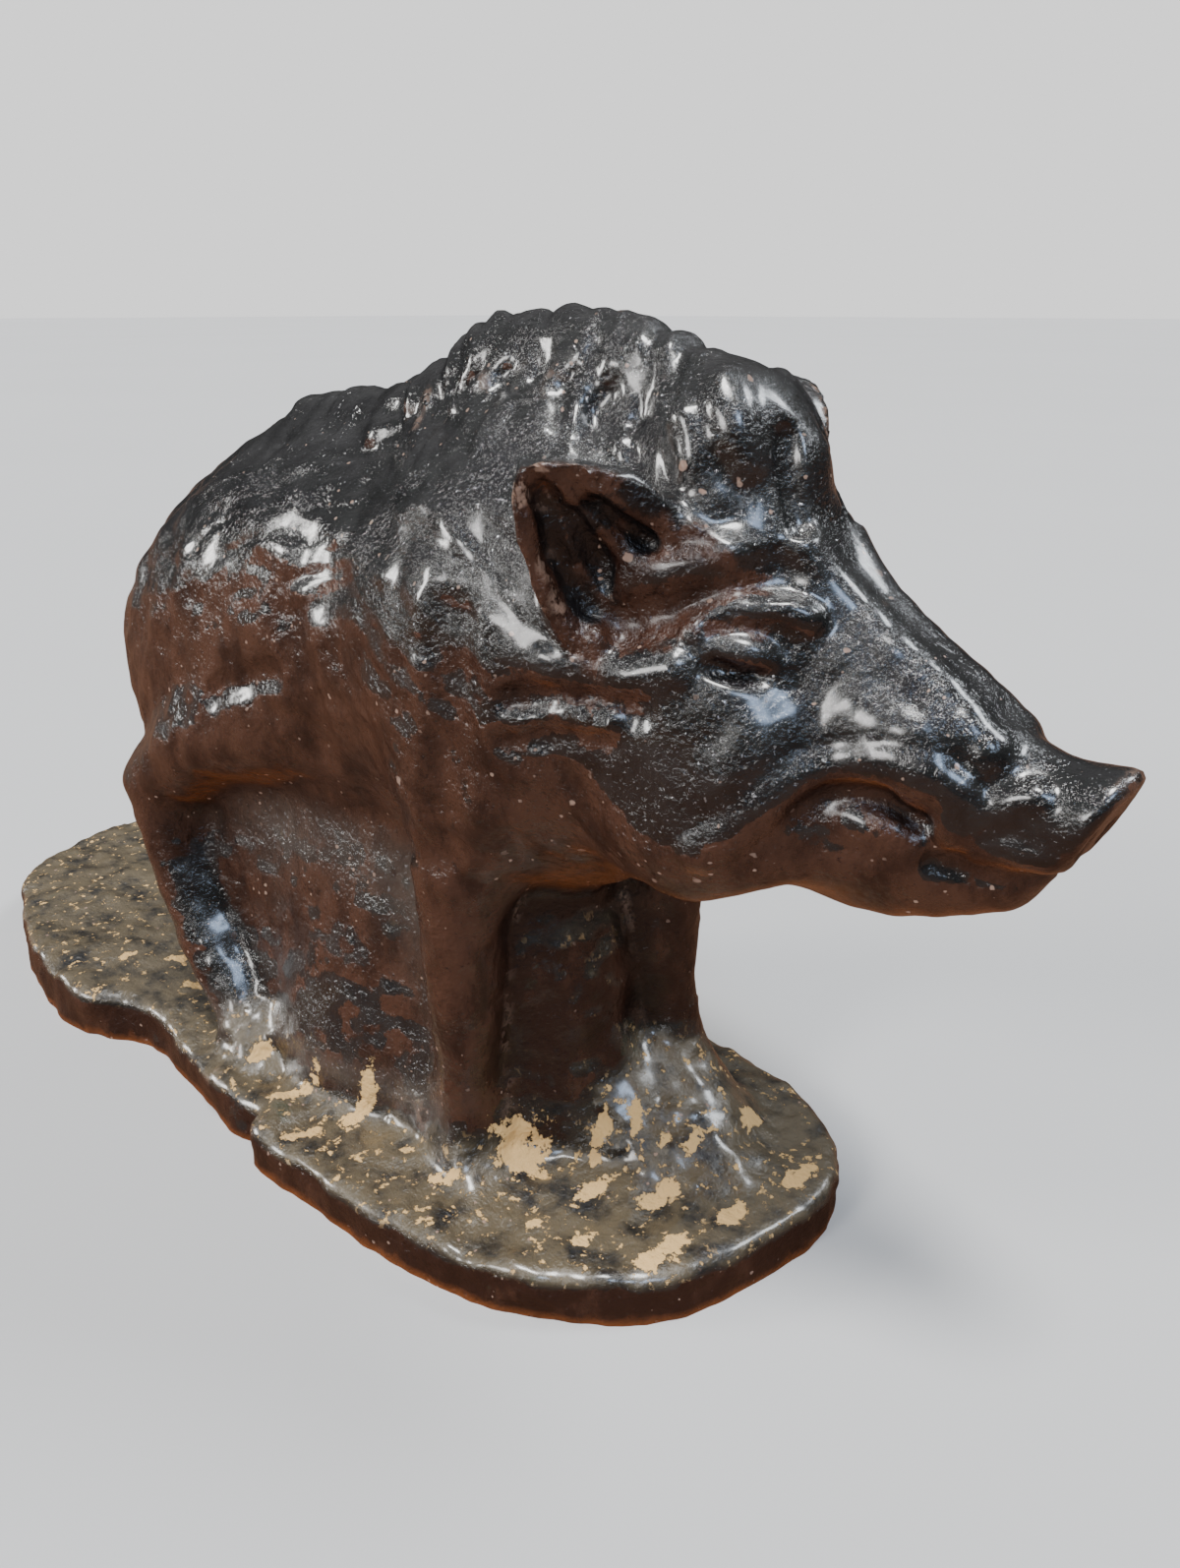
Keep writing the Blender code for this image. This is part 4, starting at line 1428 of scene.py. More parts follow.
        # Creases and the mouth's hollow take the painted reflection too
        return np.clip(np.maximum(value, self.near_paths(places, self.reflection_creases)), 0.0, 1.0)

    def near_paths(self, places: Points, paths: tuple[Fold, ...]) -> Values:
        """Measures how near places lie to some paths, on either side.

        Args:
            places: The corners in points.
            paths: The paths, each as wide as its painted mark reaches.

        Returns:
            Values from the strength of a painted mark on its path to 0 where it ends.
        """
        mirrored = one_side(places)
        best = np.zeros(len(places))
        for path in paths:
            rows = tuple((x, abs(y), z) for x, y, z, *_ in path.path)
            gap = Stroke(Fold(rows, path.width)).distance(mirrored)
            best = np.maximum(best, self.crease_strength - self.crease_strength * gap / path.width)
        return best

    def grainy(self, places: Points) -> Values:
        """Finds where the glaze is thick with grains: on the neck, the cheeks and the crown.

        Args:
            places: The corners in points.

        Returns:
            Values from 0 to 1.
        """
        x, z = places[:, 0], places[:, 2]
        front = smooth_step(x, *self.grainy_start) * (1.0 - smooth_step(x, *self.grainy_end))
        return front * smooth_step(z, *self.grainy_foot)

    def dusted(self, places: Points, normal: Points, ground: Values) -> Values:
        """Finds where grey dust clings: on the mound's flanks, and thinly by its foot.

        Args:
            places: The corners in points.
            normal: Their outward directions.
            ground: How far they belong to the ground.

        Returns:
            Values from 0 to 1.
        """
        x, z = places[:, 0], places[:, 2]
        flank = smooth_step(np.abs(normal[:, 1]), *self.dusted_turn)
        flank *= 1.0 - smooth_step(x, *self.dusted_end)
        return ground * flank * smooth_step(z, *self.dusted_foot) * (1.0 - smooth_step(z, *self.dusted_top))

    def bare(self, places: Points) -> Values:
        """Measures how near places on the slab's top are to the middle of a bare patch.

        Args:
            places: The corners in points.

        Returns:
            Values from 0 to 1.
        """
        best = np.zeros(len(places))
        for centre, length, width, turn in self.patches:
            angle = math.radians(turn)
            x, y = places[:, 0] - centre[0], places[:, 1] - centre[1]
            along = (x * math.cos(angle) + y * math.sin(angle)) / length
            across = (y * math.cos(angle) - x * math.sin(angle)) / width
            best = np.maximum(best, 1.0 - np.hypot(along, across))
        return np.clip(best, 0.0, 1.0) * (1.0 - smooth_step(places[:, 2], *self.bare_top))


class Wiring:
    """Adds nodes to a tree and joins them."""

    def __init__(self, tree: bpy.types.NodeTree) -> None:
        """Keeps the tree."""
        self.tree = tree

    def node(self, kind: str, **values: Any) -> bpy.types.Node:
        """Adds a node and sets its properties.

        Args:
            kind: The node's type.
            values: The properties to set.

        Returns:
            The node.
        """
        made = self.tree.nodes.new(kind)
        for name, value in values.items():
            setattr(made, name, value)
        return made

    def feed(self, socket: bpy.types.NodeSocket, value: Source) -> None:
        """Joins a socket to another, or sets its value.

        Args:
            socket: The socket to feed.
            value: Another socket, or a value.
        """
        if isinstance(value, bpy.types.NodeSocket):
            self.tree.links.new(value, socket)
        else:
            socket.default_value = value

    def measure(self, name: str) -> Source:
        """Returns a value stored on the mesh's corners."""
        return self.node("ShaderNodeAttribute", attribute_name=name).outputs["Fac"]

    def maths(self, kind: str, *values: Source) -> Source:
        """Adds a math node.

        Args:
            kind: Its operation.
            values: What it works on.

        Returns:
            Its result.
        """
        made = self.node("ShaderNodeMath", operation=kind)
        for socket, value in zip(made.inputs, values):
            self.feed(socket, value)
        return made.outputs[0]

    def product(self, a: Source, b: Source) -> Source:
        """Returns a times b."""
        return self.maths("MULTIPLY", a, b)

    def highest(self, a: Source, b: Source) -> Source:
        """Returns the larger of a and b."""
        return self.maths("MAXIMUM", a, b)

    def add(self, a: Source, share: Source, b: Source) -> Source:
        """Returns a plus a share of b."""
        return self.maths("MULTIPLY_ADD", b, share, a)

    def ramp(self, value: Source, low: float, high: float) -> Source:
        """Returns an eased rise from 0 at low to 1 at high.

        Args:
            value: What to ease.
            low: Where the rise starts.
            high: Where the rise ends.

        Returns:
            Its result.
        """
        made = self.node("ShaderNodeMapRange", interpolation_type="SMOOTHSTEP")
        self.feed(made.inputs["Value"], value)
        made.inputs["From Min"].default_value = low
        made.inputs["From Max"].default_value = high
        return made.outputs["Result"]

    def between(self, kind: str, share: Source, a: Source, b: Source) -> Source:
        """Adds a mix node.

        Args:
            kind: The type of what it mixes.
            share: How much of b to take.
            a: The first colour or value.
            b: The second colour or value.

        Returns:
            Its result.
        """
        made = self.node("ShaderNodeMix", data_type=kind)
        for name, value in (("Factor", share), ("A", a), ("B", b)):
            self.feed(made.inputs[name], value)
        return made.outputs["Result"]

    def mix(self, share: Source, a: Source, b: Source) -> Source:
        """Returns a colour between a and b."""
        return self.between("RGBA", share, a, b)

    def blend(self, share: Source, a: Source, b: Source) -> Source:
        """Returns a value between a and b."""
        return self.between("FLOAT", share, a, b)

    def stretch(self, place: Source, scale: Row) -> Source:
        """Returns places scaled along each axis.

        Args:
            place: The places.
            scale: The factor along each axis.

        Returns:
            The scaled places.
        """
        made = self.node("ShaderNodeVectorMath", operation="MULTIPLY")
        self.feed(made.inputs[0], place)
        made.inputs[1].default_value = scale
        return made.outputs[0]

    def noise(self, place: Source, scale: Source, detail: float = 2.0, roughness: float = 0.5) -> Source:
        """Returns noise values round one half.

        Args:
            place: The places.
            scale: How close the lumps lie.
            detail: How many finer layers it has.
            roughness: How strong those are.

        Returns:
            The values.
        """
        made = self.node("ShaderNodeTexNoise")
        self.feed(made.inputs["Vector"], place)
        self.feed(made.inputs["Scale"], scale)
        made.inputs["Detail"].default_value = detail
        made.inputs["Roughness"].default_value = roughness
        return made.outputs["Fac"]

    def group(self, group: bpy.types.NodeTree, **values: Source) -> bpy.types.Node:
        """Places a node group and feeds its inputs, whose names have spaces for underscores.

        Args:
            group: The node group.
            values: What its inputs are fed.

        Returns:
            The placed group.
        """
        made = self.node("ShaderNodeGroup", node_tree=group)
        for name, value in values.items():
            self.feed(made.inputs[name.replace("_", " ").capitalize()], value)
        return made


class Effect(Enum):
    """The surface effects that the finishes share."""

    FLECKS = "flecks"
    MOTTLE = "mottle"
    GRAIN = "grain"


class Effects:
    """Node groups for the shared effects, each built once."""

    warp_rate = 2.5
    warp_size = 0.35
    fleck_radius = 0.4
    fleck_edge = 0.06
    broad = (6.0, 0.62)
    sand = (3.0, 0.6)
    pit_rate = 0.45
    pit_edge = (0.05, 0.4)

    def __init__(self) -> None:
        """Builds every group."""
        self.groups = {
            Effect.FLECKS: self.flecks(),
            Effect.MOTTLE: self.mottle(),
            Effect.GRAIN: self.grain(),
        }

    def __getitem__(self, effect: Effect) -> bpy.types.NodeTree:
        """Returns the group of an effect."""
        return self.groups[effect]

    def new_group(self, name: str, inputs: dict[str, float], output: str) -> tuple[Wiring, Any, Any]:
        """Starts a group with a place, some values and one output.

        Args:
            name: The group's name.
            inputs: The value inputs with their defaults.
            output: The output's name.

        Returns:
            The wiring, the group's inputs and its output socket.
        """
        tree = bpy.data.node_groups.new(name, "ShaderNodeTree")
        tree.interface.new_socket("Place", in_out="INPUT", socket_type="NodeSocketVector")
        for label, value in inputs.items():
            socket = tree.interface.new_socket(label, in_out="INPUT", socket_type="NodeSocketFloat")
            socket.default_value = value
        tree.interface.new_socket(output, in_out="OUTPUT", socket_type="NodeSocketFloat")
        wiring = Wiring(tree)
        return wiring, wiring.node("NodeGroupInput").outputs, wiring.node("NodeGroupOutput").inputs[output]

    def flecks(self) -> bpy.types.NodeTree:
        """Returns scattered ragged specks: Size is their radius in a cell, Share how many cells hold one.

        Returns:
            The group.
        """
        wiring, given, out = self.new_group("flecks", {"Scale": 1.0, "Size": 0.3, "Share": 0.3}, "Mask")
        warp = wiring.node("ShaderNodeTexNoise")
        wiring.feed(warp.inputs["Vector"], given["Place"])
        wiring.feed(warp.inputs["Scale"], wiring.product(given["Scale"], self.warp_rate))
        shift = wiring.node("ShaderNodeVectorMath", operation="MULTIPLY_ADD")
        wiring.feed(shift.inputs[0], warp.outputs["Color"])
        shift.inputs[1].default_value = (self.warp_size,) * 3
        scaled = wiring.node("ShaderNodeVectorMath", operation="SCALE")
        wiring.feed(scaled.inputs[0], given["Place"])
        wiring.feed(scaled.inputs["Scale"], given["Scale"])
        wiring.feed(shift.inputs[2], scaled.outputs[0])
        cells = wiring.node("ShaderNodeTexVoronoi")
        wiring.feed(cells.inputs["Vector"], shift.outputs[0])
        cells.inputs["Scale"].default_value = 1.0
        parts = wiring.node("ShaderNodeSeparateColor")
        wiring.feed(parts.inputs[0], cells.outputs["Color"])
        radius = wiring.product(given["Size"], wiring.maths("ADD", parts.outputs[1], self.fleck_radius))
        inside = wiring.maths("SUBTRACT", radius, cells.outputs["Distance"])
        chosen = wiring.maths("LESS_THAN", parts.outputs[0], given["Share"])
        wiring.feed(out, wiring.product(wiring.ramp(inside, 0.0, self.fleck_edge), chosen))
        return wiring.tree

    def mottle(self) -> bpy.types.NodeTree:
        """Returns patches with ragged edges: Level is the share that is covered.

        Returns:
            The group.
        """
        wiring, given, out = self.new_group("mottle", {"Scale": 1.0, "Level": 0.5, "Softness": 0.05}, "Mask")
        broad = wiring.noise(given["Place"], given["Scale"], *self.broad)
        edge = wiring.maths("SUBTRACT", 1.0, given["Level"])
        raised = wiring.maths("DIVIDE", wiring.maths("SUBTRACT", broad, edge), given["Softness"])
        wiring.feed(out, wiring.ramp(wiring.maths("ADD", raised, 0.5), 0.0, 1.0))
        return wiring.tree

    def grain(self) -> bpy.types.NodeTree:
        """Returns the height of a fine sandy grain with shallow pits.

        Returns:
            The group.
        """
        wiring, given, out = self.new_group("grain", {"Scale": 1.0, "Pits": 0.3}, "Height")
        sand = wiring.noise(given["Place"], given["Scale"], *self.sand)
        cells = wiring.node("ShaderNodeTexVoronoi")
        wiring.feed(cells.inputs["Vector"], given["Place"])
        wiring.feed(cells.inputs["Scale"], wiring.product(given["Scale"], self.pit_rate))
        pit = wiring.ramp(cells.outputs["Distance"], *self.pit_edge)
        wiring.feed(out, wiring.add(sand, given["Pits"], pit))
        return wiring.tree


@dataclass(frozen=True)
class Patches:
    """Ragged patches: how close they lie, the share they cover and how soft their edges are."""

    scale: float
    level: float
    softness: float


@dataclass(frozen=True)
class Flecks:
    """Scattered specks: how close their cells lie, their radius in a cell and the share that is filled."""

    scale: float
    size: float
    share: float


class Surface(Wiring):
    """The wiring of one material, with the places on its piece and the shared effects."""

    def __init__(self, name: str, effects: Effects, scale: float = 1.0) -> None:
        """Starts the material, with its places in metres times the scale."""
        self.material = bpy.data.materials.new(name)
        self.material.use_nodes = True
        super().__init__(self.material.node_tree)
        self.shader = self.material.node_tree.nodes["Principled BSDF"]
        self.effects = effects
        self.place = self.stretch(self.node("ShaderNodeTexCoord").outputs["Object"], (scale,) * 3)

    def effect(self, effect: Effect, **values: Source) -> Source:
        """Returns the result of a shared effect."""
        return self.group(self.effects[effect], place=self.place, **values).outputs[0]

    def patches(self, kind: Patches) -> Source:
        """Returns 1 in patches and 0 between them."""
        return self.effect(Effect.MOTTLE, scale=kind.scale, level=kind.level, softness=kind.softness)

    def flecks(self, kind: Flecks) -> Source:
        """Returns 1 in specks and 0 between them."""
        return self.effect(Effect.FLECKS, scale=kind.scale, size=kind.size, share=kind.share)

    def ragged(self, noise: Row) -> Source:
        """Returns noise round nothing, given by its scale, detail and roughness."""
        return self.maths("SUBTRACT", self.noise(self.place, *noise), 0.5)

    def paint(self, colour: Source, share: Source, other: Source, strength: float = 1.0) -> Source:
        """Paints one colour over another.

        Args:
            colour: The colour below.
            share: Where the other colour lies.
            other: The colour that is painted.
            strength: How much of it covers.

        Returns:
            The painted colour.
        """
        covered = share if strength == 1.0 else self.product(share, strength)
        return self.mix(covered, colour, other)


@dataclass(frozen=True)
class DarkGlaze:
    """Glossy black glaze over a pale body, chipped and dusty on the ground, with a painted warm reflection
    of a table on what faces sideways or down and painted shade in grooves and recesses.
    """

    black: Row = (0.0045, 0.0045, 0.0052, 1.0)
    grey: Row = (0.016, 0.016, 0.0165, 1.0)
    # Painted warm reflection of a table, with its darker streaks and patches
    warm_reflection: Row = (0.066, 0.027, 0.0155, 1.0)
    deep_brown: Row = (0.022, 0.008, 0.005, 1.0)
    # Painted orange glow of the table on what faces down
    table_glow: Row = (0.30, 0.085, 0.018, 1.0)
    # Metallic flecks standing for glints, and a painted sheen on the mound
    sheen_silver: Row = (0.42, 0.42, 0.44, 1.0)
    olive: Row = (0.135, 0.105, 0.062, 1.0)
    dust: Row = (0.105, 0.088, 0.074, 1.0)
    moss: Row = (0.030, 0.055, 0.036, 1.0)
    cream: Row = (0.72, 0.46, 0.19, 1.0)
    blush: Row = (0.42, 0.27, 0.20, 1.0)
    millimetres: float = 1000.0

    thin: Patches = Patches(0.16, 0.45, 0.35)
    # Darker patches in the painted reflection
    darker_reflection: Patches = Patches(1.1, 0.36, 0.08)
    # Where the metallic glint flecks lie
    glint_patches: Patches = Patches(2.2, 0.34, 0.06)
    clinging: Patches = Patches(0.30, 0.66, 0.3)
    # Painted sheen on the mound's flanks
    painted_sheen: Patches = Patches(1.6, 0.36, 0.08)
    dusty: Patches = Patches(0.24, 0.56, 0.28)
    mossy: Patches = Patches(0.12, 0.32, 0.08)
    rubbed: Patches = Patches(0.9, 0.5, 0.1)
    specked: Patches = Patches(0.07, 0.5, 0.1)
    crumbs: Patches = Patches(0.75, 0.39, 0.05)
    strewn: Patches = Patches(0.09, 0.60, 0.1)
    rough: Patches = Patches(0.08, 0.5, 0.3)
    specks: Flecks = Flecks(0.85, 0.17, 0.3)
    flakes: Flecks = Flecks(0.45, 0.17, 0.22)
    jitter: Row = (0.45, 5.0, 0.6)
    jitter_size: float = 2.0
    chips: Row = (0.45, 6.0, 0.7)
    chip_size: float = 2.6
    streaks: Row = (0.22, 6.0, 0.65)
    streak_stretch: Row = (1.0, 1.0, 0.55)
    coarse: Row = (0.9, 3.0, 0.55)
    brown_edge: Row = (0.42, 0.62)
    streak_edge: Row = (0.32, 0.62)
    groove_edge: Row = (0.3, 0.6)
    cavity_edge: Row = (0.2, 0.7)
    ridge_edge: Row = (0.45, 0.8)
    chip_edge: Row = (0.32, 0.38)
    bare_edge: Row = (0.0, 0.06)
    mound_shade: float = -0.14
    ior: float = 1.5
    coat_ior: float = 1.7
    coat_roughness: float = 0.2
    bump_depth: float = 0.00024

    def make(self, effects: Effects) -> bpy.types.Material:
        """Builds the material.

        Args:
            effects: The shared node groups.

        Returns:
            The material.
        """
        surface = Surface("dark_glaze", effects, self.millimetres)
        thin = surface.patches(self.thin)
        jitter = surface.product(surface.ragged(self.jitter), self.jitter_size)
        # Where the warm reflection of a table is painted, and on the ear's cupped face
        reflection_share = surface.ramp(surface.maths("ADD", surface.measure("warm_reflection"), jitter), *self.brown_edge)
        reflection_share = surface.highest(reflection_share, surface.measure("inner"))
        grains = self.grain_glints(surface, reflection_share)
        speck, bare = self.speck(surface), self.bare(surface)

        colour = surface.mix(thin, self.black, self.grey)
        colour = surface.mix(reflection_share, colour, self.warm_reflection_colour(surface))
        # Black painted shade in the grooves
        groove_shade = surface.ramp(surface.maths("ADD", surface.measure("groove_shade"), jitter), *self.groove_edge)
        colour = surface.paint(colour, groove_shade, self.black, 0.9)
        # Painted shade in recesses
        recess_shade = surface.ramp(surface.measure("recess_shade"), *self.cavity_edge)
        colour = surface.paint(colour, recess_shade, self.black, 0.8)
        # Metallic flecks for glints, partly a painted highlight
        colour = surface.paint(colour, grains, self.sheen_silver)
        colour = self.dusted(surface, colour)
        ridge = surface.ramp(surface.measure("edge"), *self.ridge_edge)
        ridge = surface.product(ridge, surface.patches(self.rubbed))
        colour = surface.paint(colour, ridge, self.blush, 0.55)
        colour = surface.paint(colour, speck, self.blush, 0.7)
        colour = surface.paint(colour, bare, self.cream)
        surface.feed(surface.shader.inputs["Base Color"], colour)

        gloss = surface.blend(thin, 0.10, 0.18)
        gloss = surface.blend(reflection_share, gloss, 0.26)
        gloss = surface.blend(grains, gloss, 0.24)
        gloss = surface.blend(surface.product(surface.measure("ground"), 0.8), gloss, 0.45)
        gloss = surface.blend(surface.highest(bare, speck), gloss, 0.8)
        metallic = surface.product(grains, surface.blend(bare, 0.9, 0.0))
        coat = surface.product(surface.blend(reflection_share, 0.7, 0.2), surface.blend(bare, 1.0, 0.0))
        inputs = {
            "Roughness": gloss, "Metallic": metallic, "IOR": self.ior,
            "Coat Weight": coat, "Coat Roughness": self.coat_roughness, "Coat IOR": self.coat_ior,
            "Normal": self.relief(surface, bare),
        }
        for name, value in inputs.items():
            surface.feed(surface.shader.inputs[name], value)
        return surface.material

    def warm_reflection_colour(self, surface: Surface) -> Source:
        """Works out the painted warm reflection of a table, deeper on the mound and with a painted orange
        glow on what faces down.

        Args:
            surface: The material's wiring.

        Returns:
            The colour.
        """
        inner, under = surface.measure("inner"), surface.measure("under")
        streaked = surface.noise(surface.stretch(surface.place, self.streak_stretch), *self.streaks)
        shade = surface.add(streaked, self.mound_shade, surface.measure("mound"))
        warm_reflection = surface.mix(surface.ramp(shade, *self.streak_edge), self.deep_brown, self.warm_reflection)
        warm_reflection = surface.paint(warm_reflection, surface.patches(self.darker_reflection), self.deep_brown, 0.75)
        # Painted orange glow of the table on what faces down, weaker inside the ear
        return surface.paint(warm_reflection, surface.product(under, surface.blend(inner, 0.55, 0.0)), self.table_glow)

    def grain_glints(self, surface: Surface, reflection_share: Source) -> Source:
        """Finds the metallic flecks that stand for the glints of the grainy black glaze: partly its real
        grain, partly a painted glint.

        Args:
            surface: The material's wiring.
            reflection_share: Where the warm reflection of a table is painted.

        Returns:
            Values from 0 to 1.
        """
        grains = surface.patches(self.glint_patches)
        grains = surface.product(grains, surface.blend(surface.measure("grainy"), 0.3, 0.9))
        grains = surface.product(grains, surface.blend(reflection_share, 1.0, 0.12))
        return surface.product(grains, surface.blend(surface.measure("ground"), 1.0, 0.3))

    def dusted(self, surface: Surface, colour: Source) -> Source:
        """Lays grey dust with patches of painted metallic sheen on the mound's flanks, and dust with a trace
        of moss on the ground.

        Args:
            surface: The material's wiring.
            colour: The colour below.

        Returns:
            The dusted colour.
        """
        layers = (
            (self.clinging, "dusted", self.dust, 0.75),
            (self.painted_sheen, "dusted", self.sheen_silver, 0.6),
            (self.dusty, "ground", self.olive, 0.85),
            (self.mossy, "mound", self.moss, 0.5),
        )
        for kind, zone, layer, strength in layers:
            share = surface.product(surface.measure(zone), surface.patches(kind))
            colour = surface.paint(colour, share, layer, strength)
        return colour

    def speck(self, surface: Surface) -> Source:
        """Finds the pale specks and flakes.

        Args:
            surface: The material's wiring.

        Returns:
            Values from 0 to 1.
        """
        speck = surface.product(surface.flecks(self.specks), surface.patches(self.specked))
        flake = surface.product(surface.flecks(self.flakes), surface.measure("grainy"))
        return surface.highest(speck, flake)

    def bare(self, surface: Surface) -> Source:
        """Finds the chipped patches and the crumbs, where the pale body shows.

        Args:
            surface: The material's wiring.

        Returns:
            Values from 0 to 1.
        """
        measured = surface.measure("bare")
        chipped = surface.add(measured, self.chip_size, surface.ragged(self.chips))
        chipped = surface.ramp(chipped, *self.chip_edge)
        chipped = surface.product(chipped, surface.ramp(measured, *self.bare_edge))
        crumbs = surface.product(surface.patches(self.crumbs), surface.patches(self.strewn))
        return surface.highest(chipped, surface.product(crumbs, surface.measure("ground")))

    def relief(self, surface: Surface, bare: Source) -> Source:
        """Raises the sandy grain and lowers the bare places.

        Args:
            surface: The material's wiring.
            bare: Where the glaze has come off.

        Returns:
            The direction the surface faces.
        """
        sandy = surface.effect(Effect.GRAIN, scale=2.0, pits=0.5)
        rough = surface.highest(surface.product(surface.patches(self.rough), 0.7), surface.measure("grainy"))
        height = surface.product(sandy, surface.blend(rough, 0.3, 1.0))
        height = surface.add(height, 1.2, surface.noise(surface.place, *self.coarse))
        bump = surface.node("ShaderNodeBump")
        bump.inputs["Distance"].default_value = self.bump_depth
        bump.inputs["Strength"].default_value = 1.0
        surface.feed(bump.inputs["Height"], surface.add(height, -0.5, bare))
        return bump.outputs["Normal"]


@dataclass(frozen=True)
class PaleFloor:
    """A matt pale studio floor with the faintest grain, which the glaze mirrors as a warm table."""

    light: Row = (0.62, 0.62, 0.62, 1.0)
    dark: Row = (0.60, 0.60, 0.60, 1.0)
    table: Row = (0.13, 0.055, 0.024, 1.0)
    cloud: Patches = Patches(2.0, 0.5, 0.5)
    roughness: float = 0.9

    def make(self, effects: Effects) -> bpy.types.Material:
        """Builds the material.

        Args:
            effects: The shared node groups.

        Returns:
            The material.
        """
        surface = Surface("pale_floor", effects)
        mirrored = surface.node("ShaderNodeLightPath").outputs["Is Glossy Ray"]
        seen = surface.mix(surface.patches(self.cloud), self.light, self.dark)
        surface.feed(surface.shader.inputs["Base Color"], surface.mix(mirrored, seen, self.table))
        surface.feed(surface.shader.inputs["Roughness"], self.roughness)
        return surface.material


@dataclass
class Figurine:
    """The cast as one piece."""

    boar: Boar = field(default_factory=Boar)
    relief: Relief = field(default_factory=Relief)
    full_passes: Passes = ((1.3, 8), (0.56, 3))
    quick_passes: Passes = ((1.3, 8), (0.8, 2))
    sharp_edge: float = math.radians(60)

    def build(self, effects: Effects) -> tuple[bpy.types.Object, Vector]:
        """Makes the mesh, dresses it and puts it in place of its solid.

        Args:
            effects: The shared node groups.

        Returns:
            The piece, and how far its forms were shifted, in points.
        """
        skin = Skin(self.boar.forms())
        casting = Casting(skin, self.relief, self.full_passes)
        mesh = casting.build()
        places = casting.places(mesh)
        mesh.shade_smooth()
        mesh.set_sharp_from_angle(angle=self.sharp_edge)
        wear = Wear(skin, self.relief, self.boar.ears.turned(), self.boar.reflection_creases(), self.boar.shadows())
        wear.write(mesh, places)
        mesh.transform(Matrix.Scale(POINT, 4) @ Matrix.Translation(casting.shift))
        mesh.materials.clear()
        mesh.materials.append(DarkGlaze().make(effects))
        piece = bpy.data.objects.new(CAST, mesh)
        bpy.context.scene.collection.objects.link(piece)
        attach(piece, "root")
        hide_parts(NODE)
        return piece, casting.shift


@dataclass(frozen=True)
class Lamp:
    """A broad distant lamp: the way towards it, its strength, its width in degrees and its colour."""

    name: str
    towards: Row
    strength: float
    width: float
    colour: Row

    def hang(self) -> None:
        """Adds the lamp to the scene."""
        light = bpy.data.lights.new(self.name, "SUN")
        light.energy = self.strength
        light.angle = math.radians(self.width)
        light.color = self.colour
        lamp = bpy.data.objects.new(self.name, light)
        lamp.rotation_euler = Vector(self.towards).to_track_quat("Z", "Y").to_euler()
        bpy.context.scene.collection.objects.link(lamp)


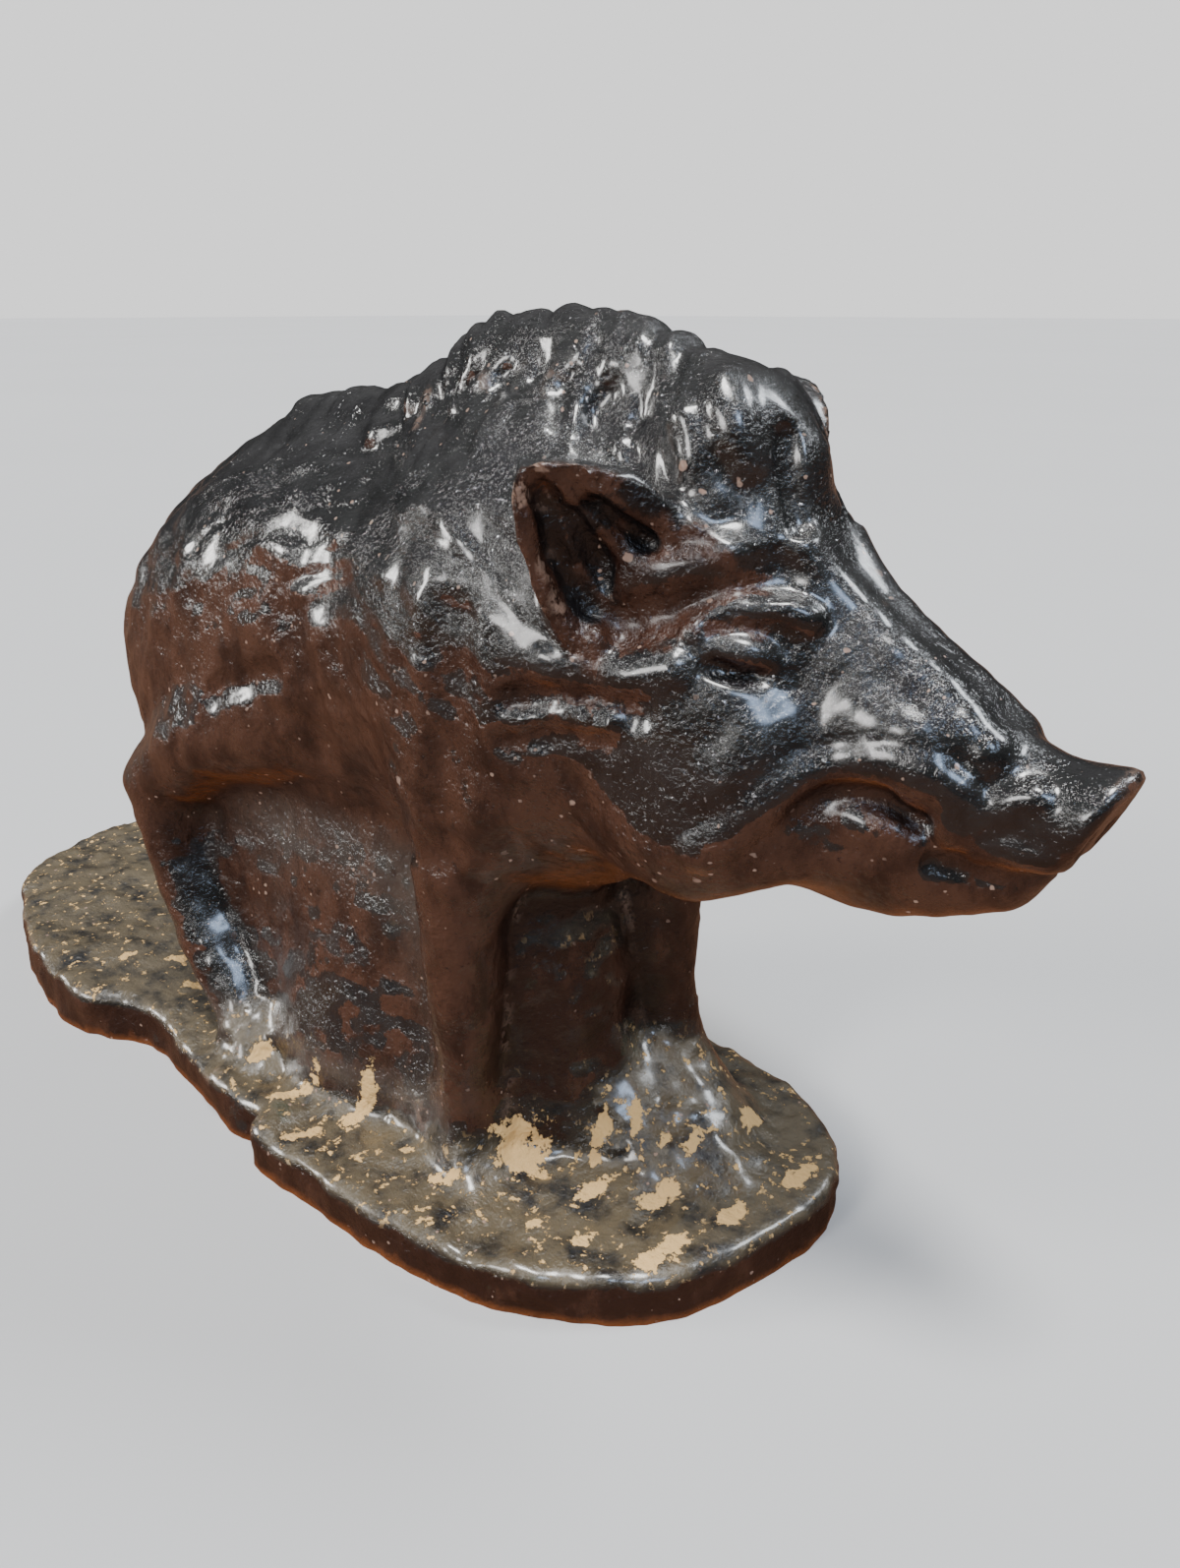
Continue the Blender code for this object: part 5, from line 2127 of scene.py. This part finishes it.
@dataclass
class Studio:
    """The floor, the lights and the camera."""

    floor_half: float = 12.0
    floor_segments: int = 8
    camera_place: Row = (75.6, -91.5, 100.0)
    heading: float = 41.3
    tilt: float = 22.0
    focal_pixels: float = 1200.0
    frame_height: float = 1594.0
    sensor: float = 36.0
    nearest: float = 0.005
    farthest: float = 60.0
    backdrop: float = 1.30
    air: float = 0.3
    haze: float = 0.06
    haze_top: Row = (0.2, 0.7)
    lamps: tuple[Lamp, ...] = (
        Lamp("overhead", (0.10, -0.15, 0.97), 2.8, 14.0, (1.0, 0.99, 0.97)),
        Lamp("window", (-0.73, -0.62, 0.32), 1.6, 14.0, (1.0, 0.98, 0.95)),
        Lamp("front", (-0.10, -0.88, 0.50), 1.3, 16.0, (1.0, 0.98, 0.96)),
        Lamp("cool", (0.55, -0.35, 0.75), 0.8, 14.0, (0.55, 0.72, 1.0)),
        Lamp("back", (0.40, 0.52, 0.74), 1.4, 16.0, (0.90, 0.95, 1.0)),
    )

    def build(self, effects: Effects, shift: Vector) -> None:
        """Sets up the studio round the piece.

        Args:
            effects: The shared node groups.
            shift: How far the figurine's forms were shifted, in points.
        """
        self.floor(effects)
        self.world()
        for lamp in self.lamps:
            lamp.hang()
        self.camera(shift)

    def floor(self, effects: Effects) -> None:
        """Lays a wide floor under the plinth.

        Args:
            effects: The shared node groups.
        """
        mesh = bpy.data.meshes.new("floor")
        work = bmesh.new()
        bmesh.ops.create_grid(work, x_segments=self.floor_segments, y_segments=self.floor_segments,
                              size=self.floor_half)
        work.to_mesh(mesh)
        work.free()
        mesh.materials.append(PaleFloor().make(effects))
        piece = bpy.data.objects.new("floor", mesh)
        bpy.context.scene.collection.objects.link(piece)

    def world(self) -> None:
        """Fills the air with an even pale light."""
        world = bpy.data.worlds.new("studio")
        world.use_nodes = True
        wiring = Wiring(world.node_tree)
        shade = world.node_tree.nodes["Background"]
        shade.inputs["Color"].default_value = (1.0, 1.0, 1.0, 1.0)
        seen = wiring.node("ShaderNodeLightPath").outputs["Is Camera Ray"]
        towards = wiring.node("ShaderNodeSeparateXYZ")
        wiring.feed(towards.inputs[0], wiring.node("ShaderNodeTexCoord").outputs["Generated"])
        light = wiring.blend(wiring.ramp(towards.outputs["Z"], *self.haze_top), self.haze, self.air)
        wiring.feed(shade.inputs["Strength"], wiring.blend(seen, light, self.backdrop))
        bpy.context.scene.world = world

    def camera(self, shift: Vector) -> None:
        """Stands the camera where the photograph was taken from.

        Args:
            shift: How far the figurine's forms were shifted, in points.
        """
        turn, down = math.radians(self.heading), math.radians(self.tilt)
        right = Vector((math.cos(turn), math.sin(turn), 0.0))
        level = Vector((-math.sin(turn), math.cos(turn), 0.0))
        ahead = level * math.cos(down) - Vector((0.0, 0.0, math.sin(down)))
        above = level * math.sin(down) + Vector((0.0, 0.0, math.cos(down)))
        lens = bpy.data.cameras.new("camera")
        lens.sensor_fit = "VERTICAL"
        lens.sensor_height = self.sensor
        lens.lens = self.focal_pixels / self.frame_height * self.sensor
        lens.clip_start = self.nearest
        lens.clip_end = self.farthest
        camera = bpy.data.objects.new("camera", lens)
        place = (Vector(self.camera_place) + Vector((shift.x, shift.y, 0.0))) * POINT
        facing = Matrix((right, above, -ahead)).transposed().to_4x4()
        camera.matrix_world = Matrix.Translation(place) @ facing
        bpy.context.scene.collection.objects.link(camera)
        bpy.context.scene.camera = camera


def main() -> None:
    """Builds the figurine and the studio round it."""
    logging.basicConfig(level=logging.INFO, format="%(name)s: %(message)s")
    effects = Effects()
    piece, shift = Figurine().build(effects)
    log.info("%s: %d triangles", piece.name, len(piece.data.polygons))
    Studio().build(effects, shift)
    log.info("studio is set")


if __name__ == "__main__":
    main()
